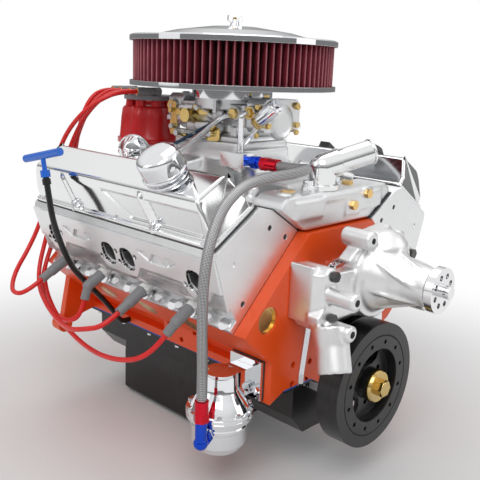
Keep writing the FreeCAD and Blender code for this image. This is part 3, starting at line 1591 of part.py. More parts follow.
def fuel_pump_bolts():
    _, y = fuel_pump_axis()
    return together(hexagon((-fuel_pad() - 8, y + step, z), (-1, 0, 0), 13, 7) for step, z in ((-25, 8), (25, 8)))


def hose_drop():
    """Where the fuel hose hangs straight down, beside the pump."""
    return FUEL_HOSE[-1][0], FUEL_HOSE[-1][1]


def elbow_height():
    return -38


def hose_end_low():
    return 28


def lower_blue_fitting():
    x, y = hose_drop()
    px, py = fuel_pump_axis()
    centre = Vector(x, y, elbow_height())
    reach = (Vector(px, py, elbow_height()) - centre)
    gap = reach.Length - (size("fuel_pump_radius") - 3)
    reach.normalize()
    elbow = Part.makeSphere(10.5, centre)
    down = rod(centre, (x, y, -4), 8.5)
    across = rod(centre, centre + reach * gap, 8.5)
    nut = hexagon(centre + reach * (gap - 9), reach, 19, 8)
    return elbow.fuse([down, across, nut]).removeSplitter()


def lower_red_fitting():
    x, y = hose_drop()
    low = hexagon((x, y, -4), (0, 0, 1), 20, 12)
    sleeve = rod((x, y, 8), (x, y, hose_end_low() - 0.3), 10)
    return low.fuse(sleeve).removeSplitter()


def log_place():
    return -75, station(165), 333


def fuel_log():
    """Aluminium distribution block beside the carburettor."""
    x, y, z = log_place()
    body = block_of(x - 12, x + 12, y - 26, y + 26, z - 12, z + 12)
    foot = block_of(x - 3, x + 12, y - 14, y + 14, z - 40, z - 11)
    seated = body.fuse(foot).cut(pieces["intake_manifold"].Shape).Solids
    return max(seated, key=lambda solid: solid.BoundBox.ZMax).removeSplitter()


def upper_blue_fitting():
    x, y, z = log_place()
    adapter = rod((x, y - 26, z), (x, y - 36, z), 8)
    nut = hexagon((x, y - 36, z), (0, -1, 0), 19, 12)
    neck = rod((x, y - 48, z), (x, y - 57, z), 8)
    return adapter.fuse([nut, neck]).removeSplitter()


def upper_red_fitting():
    x, y, z = log_place()
    nut = hexagon((x, y - 57, z), (0, -1, 0), 20, 12)
    sleeve = rod((x, y - 69, z), (x, y - 89.7, z), 10)
    return nut.fuse(sleeve).removeSplitter()


# --- cords, boots and small pipes ----------------------------------------------------------------

def rounded_path(corners):
    """Straight runs joined by tangent arcs, each arc as large as its two runs allow."""
    corners = [Vector(*corner) for corner in corners]
    edges, radii, start = [], [], corners[0]
    for before, corner, after in zip(corners, corners[1:], corners[2:]):
        back, onward = before - corner, after - corner
        reach = 0.45 * min(back.Length, onward.Length)
        back.normalize()
        onward.normalize()
        half_turn = (math.pi - back.getAngle(onward)) / 2
        radius = reach / math.tan(half_turn)
        inward = (back + onward).normalize()
        enter, leave = corner + back * reach, corner + onward * reach
        nearest = corner + inward * (radius / math.cos(half_turn) - radius)
        edges.append(Part.LineSegment(start, enter).toShape())
        edges.append(Part.Arc(enter, nearest, leave).toShape())
        radii.append(round(radius))
        start = leave
    edges.append(Part.LineSegment(start, corners[-1]).toShape())
    return Part.Wire(edges), radii


def tube_along(corners, radius):
    path, radii = rounded_path(corners)
    toward = Vector(*corners[1]) - Vector(*corners[0])
    section = Part.Wire([Part.Circle(Vector(*corners[0]), toward, radius).toShape()])
    return path.makePipeShell([section], True, False), path.Length, radii


def cord(label, corners, diameter):
    """A cord's tube; its volume must agree with its section times its length."""
    tube, length, radii = tube_along(corners, diameter / 2)
    expected = math.pi * diameter**2 / 4 * length
    print(f"{label}: length {length:.1f}, radii {radii}, volume over section x length {tube.Volume / expected:.4f}")
    piece(label, tube)


# Each wire runs from its boot on the distributor, behind the head, to the boot on its spark plug.
PLUG_WIRES = {
    "plug_wire_2": [
        (-89, -45.4, 428), (-117, -45.4, 428), (-140, -40, 408), (-153, -32.5, 370), (-160, -27, 324),
        (-167, -23, 276), (-172, -15, 226), (-184, -8.5, 180), (-202, -4.4, 138), (-221, -4.4, 95),
        (-235, -33, 61), (-250, -84.5, 38), (-258, -130.5, 24), (-267, -182.5, 18), (-279, -236.5, 20),
        (-288, -288.5, 26), (-291, -337.5, 36), (-286, -375, 48), (-274.5, -401.4, 70.6),
        (-264, -414.9, 95.3)],
    "plug_wire_4": [
        (-89, -95, 428), (-122, -95, 428), (-150, -81.5, 409), (-168, -61.5, 375), (-180, -42.5, 332),
        (-189, -31.5, 286), (-200, -25.5, 238), (-214, -22.5, 190), (-230, -23.5, 146), (-248, -33.5, 108),
        (-264, -58, 80), (-277, -102.5, 62), (-291, -152.5, 56), (-306, -200.5, 58), (-319, -246.5, 66),
        (-320, -284, 78), (-305.1, -314, 86.7), (-276.4, -314, 103.1)],
    "plug_wire_6": [
        (-89, -66, 428), (-117, -66, 428), (-142, -56, 406), (-157, -43, 368), (-168, -33, 322),
        (-178, -27, 274), (-187, -21.5, 222), (-200, -19, 172), (-219, -21.5, 128), (-240, -32, 92),
        (-257, -58, 64), (-268, -98, 50), (-275, -140, 44), (-278, -177, 50), (-271.3, -202.2, 65.4),
        (-262.8, -202.2, 92.1)],
    "plug_wire_8": [
        (-89, -115.6, 428), (-125, -115.6, 428), (-156, -101, 414), (-180, -76, 388), (-194, -47, 350),
        (-202, -28.5, 306), (-210, -19.5, 260), (-221, -14.5, 214), (-237, -12.5, 172), (-259, -13, 136),
        (-285, -20, 108), (-306, -40, 90), (-318, -64, 80), (-309, -90.5, 84.6), (-276.4, -90.5, 103.1)],
}

FUEL_HOSE = [
    (-75, -451.5, 333), (-75, -484.5, 333), (-81, -511.5, 337), (-105, -529.5, 339), (-143, -533, 336),
    (-186, -528, 335), (-227, -521.5, 327), (-260, -517, 300), (-277, -514, 258), (-284, -511.5, 208),
    (-283, -509, 156), (-279, -507, 106), (-277, -506.5, 66), (-277, -506.5, 28)]


def plug_end_directions():
    """How each passenger-side boot leaves its plug, front to rear."""
    lean = bank_vector(PASSENGER, *PLUG_LEAN)
    return [Vector(-0.35, 0.45, -0.82).normalize(), lean, Vector(-0.3, 0, -0.95).normalize(), lean]


def spark_plug_boots():
    """Rubber boots over the passenger-side plugs, two of them turned down at the wire."""
    solids = []
    seat_up, seat_out = plug_seat()
    lean = bank_vector(PASSENGER, *PLUG_LEAN)
    for y, leaving in zip(plug_stations(PASSENGER), plug_end_directions()):
        seat = bank_vector(PASSENGER, seat_up, seat_out, y)
        elbow = seat + lean * 45
        parts = [rod(seat + lean * 15, elbow, 9), Part.makeSphere(9, elbow), rod(elbow, elbow + leaving * 23.7, 7.5)]
        inside = rod(seat + lean * 14, seat + lean * 44.5, 5 + size("free_clearance"))
        solids.append(parts[0].fuse(parts[1:]).cut(inside).removeSplitter())
    return together(solids)


def distributor_boots():
    """The wire retainer on the cap and the four boots on the passenger side, turned flat outwards."""
    x, y = distributor_axis()
    top = size("distributor_cap_top")
    retainer = rod((x, y, top), (x, y, top + 8), 50).cut(rod((x, y, top - 1), (x, y, top + 9), 24))
    solids = [retainer]
    level = top + 16
    for tower_x, tower_y in tower_points():
        if tower_x < x:
            upright = rod((tower_x, tower_y, top + 8), (tower_x, tower_y, level + 7), 8)
            arm = rod((tower_x + 7, tower_y, level), (x - 61.7, tower_y, level), 7.5)
            solids.append(upright.fuse(arm).removeSplitter())
    return together(solids)


DIPSTICK_FOOT = Vector(-291, -155.5, 224)
DIPSTICK_MOUTH = Vector(-292, -140.5, 292)


def dipstick_line():
    return (DIPSTICK_MOUTH - DIPSTICK_FOOT).normalize()


def dipstick_tube():
    """From the pan rail up past the plugs to a straight, open mouth beside the valve cover."""
    rail = -size("pan_rail_half_width")
    corners = [tuple(DIPSTICK_MOUTH), tuple(DIPSTICK_FOOT), (-280, -164, 178), (-256, -154, 137), (-217, -142, 96),
               (-180, -138, 58), (-153, -138.5, 24), (-141, -139, 6), (rail, -139, 6)]
    outer, _, _ = tube_along(corners, size("dipstick_tube_radius"))
    line = dipstick_line()
    bore = rod(DIPSTICK_MOUTH - line * 62, DIPSTICK_MOUTH + line, size("dipstick_tube_bore"))
    band = rod(DIPSTICK_MOUTH - line * 12, DIPSTICK_MOUTH - line * 2, size("dipstick_tube_radius") + 2)
    return outer.fuse(band).cut(bore).removeSplitter()


def dipstick():
    """Blade, collar, stem and a plain cross handle."""
    line = dipstick_line()
    mouth = DIPSTICK_MOUTH + line * size("shaft_clearance")
    blade = rod(mouth - line * 58, mouth, size("dipstick_blade_radius"))
    collar = rod(mouth, mouth + line * 12, 8)
    stem = rod(mouth + line * 12, mouth + line * 34, 4)
    aside = Vector(0, line.z, -line.y)
    middle = mouth + line * 36
    handle = rod(middle - aside * 54, middle + aside * 54, 6.5)
    return blade.fuse([collar, stem, handle]).removeSplitter()


def carburettor_lines():
    """The feed from the fuel log to the front bowl, and the straight pipe beside the carburettor."""
    pad, middle = size("carburettor_pad_height"), station(size("carburettor_station"))
    x, y, z = log_place()
    inlet_y, inlet_z = middle - 96, pad + 50
    feed = tube_along([(-58, inlet_y, inlet_z), (x, inlet_y, inlet_z), (x, inlet_y, z + 12)], 4.5)[0]
    pipe = tube_along([(-48.3, middle - 56, pad + 43), (-76, middle - 56, pad + 43), (-79, middle + 46, pad - 24)], 4)[0]
    bottom = Vector(-79, middle + 46, pad - 24)
    foot = rod(bottom, bottom - Vector(0, 0, 60), 6)
    seated = foot.cut(pieces["intake_manifold"].Shape).Solids
    top = max(seated, key=lambda solid: solid.BoundBox.ZMax)
    return together([feed, pipe.fuse([top, Part.makeSphere(6, bottom)]).removeSplitter()])


def filler_caps():
    """A low round oil filler cap and a small square plug on the driver's cover."""
    lift = rail_vector(DRIVER, 0, 1) - rail_vector(DRIVER, 0, 0)
    seat = size("cover_gasket_thickness") + size("cover_height")
    round_seat = rail_vector(DRIVER, 42, seat, station(118))
    round_cap = rod(round_seat, round_seat + lift * 10, 26).fuse(taper(round_seat + lift * 10, round_seat + lift * 22, 24, 16))
    square_seat = rail_vector(DRIVER, 42, seat, station(226))
    square = Part.makeBox(22, 22, 16, Vector(-11, -11, 0))
    square.Placement = Placement(square_seat, Rotation(Vector(0, 0, 1), lift))
    return together([round_cap.removeSplitter(), square])


# --- building and writing ------------------------------------------------------------------------

air_cleaner_base()
air_cleaner_lid()
piece("engine_block", engine_block())
piece("main_bearing_caps", main_bearing_caps())
piece("crankshaft", crankshaft())
piece("pistons", pistons())
piece("camshaft", camshaft())
piece("cylinder_head_driver", cylinder_head(DRIVER))
piece("cylinder_head_passenger", cylinder_head(PASSENGER))
piece("head_gaskets", head_gaskets())
piece("spark_plugs", spark_plugs())
piece("valve_cover_driver", valve_cover(DRIVER))
piece("valve_cover_passenger", valve_cover(PASSENGER))
piece("valve_cover_gaskets", valve_cover_gaskets())
piece("breather_cap", breather_cap())
piece("intake_manifold", intake_manifold())
piece("intake_gaskets", intake_gaskets())
piece("thermostat_housing", thermostat_housing())
piece("carburettor_body", carburettor_body())
piece("float_bowls", float_bowls())
piece("carburettor_fittings", together([carburettor_fittings(), air_cleaner_stud()]))
piece("primary_throttle", throttle(throttle_lines()[0], PASSENGER))
piece("secondary_throttle", throttle(throttle_lines()[1], DRIVER))
piece("choke_plate", choke_plate())
piece("air_filter_element", air_filter_element())
piece("wing_nut", wing_nut())
piece("distributor_housing", distributor_housing())
piece("distributor_cap", distributor_cap())
piece("distributor_rotor", distributor_rotor())
piece("vacuum_advance", vacuum_advance())
piece("timing_cover", timing_cover())
piece("timing_chain", timing_chain())
piece("crank_sprocket", crank_sprocket())
piece("cam_sprocket", cam_sprocket())
piece("water_pump_housing", water_pump_housing())
piece("water_pump_hub", water_pump_hub())
piece("harmonic_balancer", harmonic_balancer())
piece("crank_bolt", crank_bolt())
piece("oil_pan", oil_pan())
piece("oil_pan_gasket", together([oil_pan_gasket(), rear_main_seal()]))
piece("oil_pump", oil_pump())
piece("fuel_pump", fuel_pump())
piece("fuel_pump_gasket", fuel_pump_gasket())
piece("fuel_log", fuel_log())
piece("blue_fittings", together([lower_blue_fitting(), upper_blue_fitting()]))
piece("red_fittings", together([lower_red_fitting(), upper_red_fitting()]))
piece("carburettor_lines", carburettor_lines())
piece("filler_caps", filler_caps())
piece("spark_plug_boots", spark_plug_boots())
piece("distributor_boots", distributor_boots())
piece("dipstick_tube", dipstick_tube())
piece("dipstick", dipstick())
piece("dark_bolts", together([main_cap_bolts(), head_bolts(), oil_pan_bolts(), water_pump_bolts()]))
piece("bright_bolts", together([valve_cover_bolts(), intake_bolts(), thermostat_bolts(), timing_cover_bolts(),
                                fuel_pump_bolts()]))
piece("brass_plugs", together([core_plugs(), brass_plugs()]))
for wire, corners in PLUG_WIRES.items():
    cord(wire, corners, size("plug_wire_diameter"))
cord("fuel_hose", FUEL_HOSE, size("fuel_hose_diameter"))

doc.recompute()
faulty = [item.Name for item in doc.Objects if "Invalid" in item.State or "Error" in item.State]
if faulty:
    raise ValueError("these features failed: " + ", ".join(faulty))

os.makedirs("parts", exist_ok=True)
for label, feature in pieces.items():
    shape = feature.Shape
    if shape.isNull() or not shape.isValid():
        raise ValueError(label + " has no valid shape")
    shape.exportStep(os.path.join("parts", label + ".step"))
    print(f"{label:28s} {len(shape.Solids):3d} solids {len(shape.Faces):5d} faces {shape.Volume / 1000:10.1f} cm3")
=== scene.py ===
"""Dressing of the V8 engine: camera, floor, light, cords, finishes and the finer pieces."""
import math

import bmesh
import bpy
import numpy as np
from mathutils import Matrix, Vector


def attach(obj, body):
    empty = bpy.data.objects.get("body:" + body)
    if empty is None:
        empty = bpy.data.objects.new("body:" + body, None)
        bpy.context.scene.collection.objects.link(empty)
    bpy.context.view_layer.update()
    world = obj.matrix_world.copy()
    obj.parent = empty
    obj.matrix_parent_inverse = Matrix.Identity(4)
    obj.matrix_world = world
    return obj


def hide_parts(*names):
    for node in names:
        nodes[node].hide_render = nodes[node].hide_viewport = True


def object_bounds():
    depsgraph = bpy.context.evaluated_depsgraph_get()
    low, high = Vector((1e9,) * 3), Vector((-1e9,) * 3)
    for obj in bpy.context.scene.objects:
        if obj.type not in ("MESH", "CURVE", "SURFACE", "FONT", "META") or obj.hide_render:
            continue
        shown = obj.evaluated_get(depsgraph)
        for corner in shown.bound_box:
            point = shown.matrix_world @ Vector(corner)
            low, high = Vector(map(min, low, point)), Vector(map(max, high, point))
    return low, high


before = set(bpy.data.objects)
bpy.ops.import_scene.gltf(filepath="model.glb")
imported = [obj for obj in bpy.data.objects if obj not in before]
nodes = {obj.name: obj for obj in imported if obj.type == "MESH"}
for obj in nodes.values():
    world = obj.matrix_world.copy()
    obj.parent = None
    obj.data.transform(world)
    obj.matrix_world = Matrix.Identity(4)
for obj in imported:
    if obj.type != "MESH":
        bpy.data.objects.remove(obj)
cad_low, cad_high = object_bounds()
scene = bpy.context.scene

PASSENGER, DRIVER = -1, 1
SIDES = (PASSENGER, DRIVER)
FORWARD, REARWARD, UPWARD = (0, -1, 0), (0, 1, 0), (0, 0, 1)
FRONT = -526.5


def station(behind_front):
    """Distance along the engine in part coordinates, from millimetres behind the block's front face."""
    return FRONT + behind_front


CARBURETTOR_Y = station(254)


# --- camera, floor and light ---

SENSOR_WIDTH, LENS_LENGTH = 36.0, 52.91
CAMERA_PLACE = (-0.89625, -1.1565, 0.4809)
CAMERA_TURNS = (-46.45, 13.89, 2.21)
AMBIENT = 0.34
HORIZON_GLOSS = 0.22
GLOSS_FULL_AT = 0.62
FLOOR_REACH = 12.0
FLOOR_FADE = (0.42, 1.15)
ENGINE_MIDDLE = (0.0, -0.3, 0.18)
# Each lamp: its name, its place, its width and height in metres, and its power in watts.
LAMPS = [
    ("key_light", (-1.6, -1.5, 2.2), 1.6, 1.6, 27),
    ("side_light", (-2.4, 0.9, 1.2), 1.4, 1.8, 6),
    ("front_light", (1.5, -2.4, 1.3), 1.4, 1.8, 9),
    ("top_light", (0.3, 0.2, 2.6), 2.0, 2.0, 13),
]


def turned_axes(azimuth, elevation, roll):
    """Right, up and backward directions of a camera, from its three angles in degrees."""
    a, e, r = (math.radians(angle) for angle in (azimuth, elevation, roll))
    back = Vector((math.sin(a) * math.cos(e), -math.cos(a) * math.cos(e), math.sin(e)))
    right = Vector((math.cos(a), math.sin(a), 0.0))
    up = back.cross(right)
    return math.cos(r) * right + math.sin(r) * up, math.cos(r) * up - math.sin(r) * right, back


def make_camera():
    data = bpy.data.cameras.new("camera")
    data.sensor_width, data.lens = SENSOR_WIDTH, LENS_LENGTH
    data.clip_start, data.clip_end = 0.05, 50.0
    camera = bpy.data.objects.new("camera", data)
    turn = Matrix(turned_axes(*CAMERA_TURNS)).transposed().to_4x4()
    camera.matrix_world = Matrix.Translation(CAMERA_PLACE) @ turn
    scene.collection.objects.link(camera)
    scene.camera = camera


def area_light(name, place, width, height, watts):
    """A rectangular lamp that faces the middle of the engine."""
    data = bpy.data.lights.new(name, "AREA")
    data.shape = "RECTANGLE"
    data.size, data.size_y = width, height
    data.energy = watts
    lamp = bpy.data.objects.new(name, data)
    aim = (Vector(ENGINE_MIDDLE) - Vector(place)).to_track_quat("-Z", "Y")
    lamp.matrix_world = Matrix.Translation(place) @ aim.to_matrix().to_4x4()
    scene.collection.objects.link(lamp)


class Shading:
    """A short way to write a node tree: nodes are made in order and joined by name."""

    def __init__(self, tree):
        self.tree = tree

    def node(self, kind, inputs=None, **settings):
        made = self.tree.nodes.new(kind)
        for key, value in settings.items():
            setattr(made, key, value)
        self.fill(made.inputs, inputs or {})
        return made

    def fill(self, sockets, values):
        """Joins or sets sockets, each by its name or number."""
        for key, value in values.items():
            if isinstance(value, bpy.types.NodeSocket):
                self.tree.links.new(value, sockets[key])
            else:
                sockets[key].default_value = value

    def math(self, operation, first, second=0.0):
        return self.node("ShaderNodeMath", {0: first, 1: second}, operation=operation).outputs[0]

    def vector(self, operation, first, second):
        return self.node("ShaderNodeVectorMath", {0: first, 1: second}, operation=operation).outputs[0]

    def length(self, vector):
        return self.node("ShaderNodeVectorMath", {0: vector}, operation="LENGTH").outputs["Value"]

    def place(self, kind="Object"):
        return self.node("ShaderNodeTexCoord").outputs[kind]

    def split(self, vector):
        return self.node("ShaderNodeSeparateXYZ", {0: vector}).outputs

    def noise(self, place, scale, detail, roughness=0.5):
        inputs = {"Vector": place, "Scale": scale, "Detail": detail, "Roughness": roughness}
        return self.node("ShaderNodeTexNoise", inputs).outputs["Fac"]

    def between(self, value, low, high, first=0.0, last=1.0, smooth=True):
        """Runs from first to last while the value runs from low to high, and stays there beyond them."""
        kind = "SMOOTHSTEP" if smooth else "LINEAR"
        inputs = {"Value": value, 1: low, 2: high, 3: first, 4: last}
        return self.node("ShaderNodeMapRange", inputs, interpolation_type=kind).outputs["Result"]

    def mix(self, factor, first, second, blend="MIX"):
        inputs = {0: factor, 6: first, 7: second}
        return self.node("ShaderNodeMix", inputs, data_type="RGBA", blend_type=blend).outputs[2]

    def choose(self, factor, first, second):
        """The number version of mix."""
        return self.node("ShaderNodeMix", {0: factor, 2: first, 3: second}).outputs[0]

    def toned(self, colour, tone):
        """A colour times a number."""
        grey = self.node("ShaderNodeCombineColor", {0: tone, 1: tone, 2: tone}).outputs[0]
        return self.mix(1.0, colour, grey, "MULTIPLY")

    def bump(self, height, strength, distance, normal=None):
        inputs = {"Strength": strength, "Distance": distance, "Height": height}
        if normal:
            inputs["Normal"] = normal
        return self.node("ShaderNodeBump", inputs).outputs[0]

    def shade(self, colour, **inputs):
        """The principled surface, and the material's output; an input's spaces are written as underscores."""
        named = {key.replace("_", " "): value for key, value in inputs.items()}
        made = self.node("ShaderNodeBsdfPrincipled", {"Base Color": colour, **named})
        self.node("ShaderNodeOutputMaterial", {"Surface": made.outputs[0]})


def blank(owner):
    """Empties the nodes of a new material or world, and gives the way to write them."""
    owner.use_nodes = True
    owner.node_tree.nodes.clear()
    return Shading(owner.node_tree)


def direct_rays(s):
    """1 for the rays of the camera, of reflections and of glass; 0 for those that only carry light."""
    path = s.node("ShaderNodeLightPath")
    seen = s.math("MAXIMUM", path.outputs["Is Camera Ray"], path.outputs["Is Glossy Ray"])
    return s.math("MAXIMUM", seen, path.outputs["Is Transmission Ray"])


def make_world():
    """White to the eye; a reflection sees it shade from white overhead to grey at the horizon."""
    world = bpy.data.worlds.new("studio")
    s = blank(world)
    path = s.node("ShaderNodeLightPath")
    mirrored = s.between(s.split(s.place("Generated"))[2], 0.0, GLOSS_FULL_AT, HORIZON_GLOSS, 1.0)
    strength = s.choose(path.outputs["Is Glossy Ray"], AMBIENT, mirrored)
    seen = s.math("MAXIMUM", path.outputs["Is Camera Ray"], path.outputs["Is Transmission Ray"])
    strength = s.choose(seen, strength, 1.0)
    back = s.node("ShaderNodeBackground", {"Color": (1, 1, 1, 1), "Strength": strength})
    s.node("ShaderNodeOutputWorld", {"Surface": back.outputs[0]})
    scene.world = world


def make_floor(height):
    """A pale floor that fades to white away from the object and keeps its shadow."""
    mesh = bpy.data.meshes.new("floor")
    corners = [(x * FLOOR_REACH, y * FLOOR_REACH, height) for x, y in ((-1, -1), (1, -1), (1, 1), (-1, 1))]
    mesh.from_pydata(corners, [], [(0, 1, 2, 3)])
    floor = bpy.data.objects.new("floor", mesh)
    scene.collection.objects.link(floor)
    material = bpy.data.materials.new("studio_floor")
    s = blank(material)
    away = s.length(s.vector("SUBTRACT", s.place(), (*ENGINE_MIDDLE[:2], height)))
    fade = s.math("MULTIPLY", s.between(away, *FLOOR_FADE), direct_rays(s))
    pale = s.node("ShaderNodeBsdfDiffuse", {"Color": (0.93, 0.93, 0.93, 1)})
    white = s.node("ShaderNodeEmission", {"Color": (1, 1, 1, 1), "Strength": 1.0})
    both = s.node("ShaderNodeMixShader", {0: fade, 1: pale.outputs[0], 2: white.outputs[0]})
    s.node("ShaderNodeOutputMaterial", {"Surface": both.outputs[0]})
    mesh.materials.append(material)


scene.view_settings.view_transform = "Standard"
make_camera()
make_world()
make_floor(cad_low.z)
for lamp in LAMPS:
    area_light(*lamp)


# --- shared effects ---

NUMBER, COLOUR = "NodeSocketFloat", "NodeSocketColor"


def effect(name, numbers, outputs):
    """A node group with a colour and some numbers as inputs, a colour and some numbers as outputs,
    and the way to write what is in it."""
    tree = bpy.data.node_groups.new(name, "ShaderNodeTree")
    sockets = [("Colour", COLOUR, (1, 1, 1, 1))] + [(key, NUMBER, value) for key, value in numbers.items()]
    for label, kind, value in sockets:
        tree.interface.new_socket(name=label, in_out="INPUT", socket_type=kind).default_value = value
    for label, kind in [("Colour", COLOUR), *((label, NUMBER) for label in outputs)]:
        tree.interface.new_socket(name=label, in_out="OUTPUT", socket_type=kind)
    s = Shading(tree)
    given, out = s.node("NodeGroupInput").outputs, s.node("NodeGroupOutput").inputs
    return tree, s, given, out, s.place()


def cast_skin_effect():
    """Sand-cast skin: fine grain over soft swells, and a slow drift of the tone."""
    tree, s, given, out, place = effect("cast_skin", {"Grain": 900.0, "Drift": 0.1}, ("Height", "Roughness"))
    fine = s.noise(place, given["Grain"], 3.0, 0.6)
    broad = s.noise(place, 22.0, 3.0, 0.55)
    tone = s.math("ADD", 1.0, s.math("MULTIPLY", given["Drift"], s.math("SUBTRACT", broad, 0.5)))
    tone = s.math("ADD", tone, s.math("MULTIPLY", s.math("SUBTRACT", fine, 0.5), 0.12))
    height = s.math("ADD", fine, s.math("MULTIPLY", broad, 0.6))
    s.fill(out, {"Colour": s.toned(given["Colour"], tone), "Height": height,
                 "Roughness": s.between(fine, 0.3, 0.7)})
    return tree


def smear_effect():
    """Faint smears and dust on a smooth surface, as a change of its roughness and colour."""
    tree, s, given, out, place = effect("smears", {"Amount": 0.2}, ("Mask", "Height"))
    slow = s.noise(place, 9.0, 4.0, 0.6)
    stretched = s.vector("MULTIPLY", place, (1.0, 3.0, 0.5))
    streak = s.noise(stretched, 60.0, 3.0, 0.6)
    mask = s.math("MULTIPLY", s.between(slow, 0.4, 0.75), s.between(streak, 0.35, 0.7))
    mask = s.math("MULTIPLY", mask, given["Amount"])
    s.fill(out, {"Colour": s.mix(mask, given["Colour"], (0.35, 0.33, 0.3, 1)), "Mask": mask,
                 "Height": s.noise(place, 260.0, 2.0)})
    return tree


def tool_lines_effect():
    """Fine lines left by a tool, running one way, with their own light and dark."""
    tree, s, given, out, place = effect("tool_lines", {"Depth": 0.15}, ("Height", "Mask"))
    lines = s.noise(s.vector("MULTIPLY", place, (60.0, 3.0, 60.0)), 26.0, 3.0, 0.7)
    tone = s.math("ADD", 1.0, s.math("MULTIPLY", given["Depth"], s.math("SUBTRACT", lines, 0.5)))
    s.fill(out, {"Colour": s.toned(given["Colour"], tone), "Height": lines,
                 "Mask": s.between(lines, 0.3, 0.7)})
    return tree


CAST_SKIN, SMEARS, TOOL_LINES = cast_skin_effect(), smear_effect(), tool_lines_effect()


# --- finishes ---

def finish_of(name, colour, metal, dull, effect_tree, settings, bump=0.0, bump_size=0.0002, soft_edge=0.0,
              roughness_spread=0.1, coat=0.0, coat_dull=0.05):
    """A finish whose colour, dullness and skin come from one shared effect."""
    material = bpy.data.materials.new(name)
    s = blank(material)
    used = s.node("ShaderNodeGroup", {"Colour": (*colour, 1), **settings}, node_tree=effect_tree)
    mask = used.outputs["Roughness" if "Roughness" in used.outputs else "Mask"]
    low, high = max(0.02, dull - roughness_spread), min(1.0, dull + roughness_spread)
    inputs = {"Metallic": metal, "Coat_Weight": coat, "Coat_Roughness": coat_dull,
              "Roughness": s.between(mask, 0.0, 1.0, low, high, smooth=False)}
    if soft_edge:
        inputs["Normal"] = s.node("ShaderNodeBevel", {"Radius": soft_edge}, samples=4).outputs[0]
    if bump:
        inputs["Normal"] = s.bump(used.outputs["Height"], bump, bump_size, inputs.get("Normal"))
    s.shade(used.outputs["Colour"], **inputs)
    return material


def cast(name, colour, dull, grain=900.0, bump=0.35):
    """A bare sand casting."""
    settings = {"Grain": grain, "Drift": 0.12}
    return finish_of(name, colour, 1.0, dull, CAST_SKIN, settings, bump, 0.0003, 0.0016, 0.07)


def plain(name, colour, metal, dull, amount, bump=0.0, **more):
    """A smooth skin, metal or not, with an amount of smears."""
    more.setdefault("roughness_spread", 0.06)
    return finish_of(name, colour, metal, dull, SMEARS, {"Amount": amount}, bump, **more)


def machined(name, colour, dull=0.25):
    """A metal face with the lines of the tool that cut it."""
    return finish_of(name, colour, 1.0, dull, TOOL_LINES, {"Depth": 0.2}, 0.1, 0.0001, 0.0, 0.06)


FINISHES = {
    "orange": plain("orange_engine_paint", (0.90, 0.085, 0.003), 0.0, 0.42, 0.08, 0.12, bump_size=0.0004,
                    soft_edge=0.002, coat=0.08, coat_dull=0.2),
    "cast": cast("cast_aluminium", (0.74, 0.745, 0.75), dull=0.42),
    "head": cast("head_casting", (0.80, 0.805, 0.81), dull=0.4, grain=1100.0),
    "pump": cast("pump_casting", (0.80, 0.80, 0.805), dull=0.42, grain=800.0, bump=0.45),
    "cover": plain("polished_cover", (0.80, 0.805, 0.81), 1.0, 0.15, 0.1, 0.06, soft_edge=0.0018),
    "chrome": plain("chrome_plate", (0.76, 0.77, 0.79), 1.0, 0.06, 0.08, roughness_spread=0.03,
                    soft_edge=0.0008),
    "black": plain("gloss_black_paint", (0.006, 0.006, 0.0065), 0.0, 0.36, 0.06, 0.08, soft_edge=0.0015),
    "steel": machined("machined_steel", (0.55, 0.55, 0.56)),
    "hub": machined("bright_machined_steel", (0.78, 0.78, 0.79), dull=0.16),
    "gold": plain("yellow_zinc_plate", (0.66, 0.47, 0.17), 1.0, 0.24, 0.4, 0.05),
    "brass": machined("brass_plug", (0.78, 0.52, 0.20), dull=0.24),
    "red_plastic": plain("red_moulded_cap", (0.72, 0.006, 0.010), 0.0, 0.34, 0.1, 0.06, soft_edge=0.0012),
    "grey_rubber": plain("grey_boot_rubber", (0.24, 0.24, 0.25), 0.0, 0.5, 0.25, 0.15, soft_edge=0.001),
    "red_rubber": plain("red_wire_jacket", (0.78, 0.010, 0.010), 0.0, 0.42, 0.06, 0.05),
    "blue": plain("blue_anodised", (0.01, 0.07, 0.62), 0.9, 0.2, 0.1, soft_edge=0.0006),
    "red": plain("red_anodised", (0.66, 0.012, 0.03), 0.9, 0.2, 0.1, soft_edge=0.0006),
    "gasket": plain("blue_gasket_sheet", (0.02, 0.10, 0.45), 0.0, 0.5, 0.3, 0.2),
    "black_plastic": plain("black_moulding", (0.015, 0.015, 0.016), 0.0, 0.35, 0.2, 0.1, soft_edge=0.001),
    # Near black: painted shade in the exhaust ports, stud holes and pump thread holes, and the balancer's own
    # black rubber.
    "black_rubber_and_painted_shade": plain("painted_shade_and_black_rubber", (0.006, 0.006, 0.006), 0.0, 0.85, 0.2, 0.1),
    "element_band": plain("moulded_end_band", (0.10, 0.012, 0.02), 0.0, 0.45, 0.2, 0.1, soft_edge=0.001),
    "blue_handle": plain("blue_moulded_handle", (0.012, 0.15, 0.70), 0.0, 0.35, 0.08, 0.05, soft_edge=0.001),
    "blued": plain("blued_steel_pipe", (0.035, 0.07, 0.12), 0.8, 0.25, 0.2),
    "dark_gasket": plain("dark_gasket_sheet", (0.03, 0.032, 0.036), 0.0, 0.55, 0.3, 0.2),
    "ceramic": plain("white_glaze", (0.85, 0.85, 0.83), 0.0, 0.15, 0.05),
}

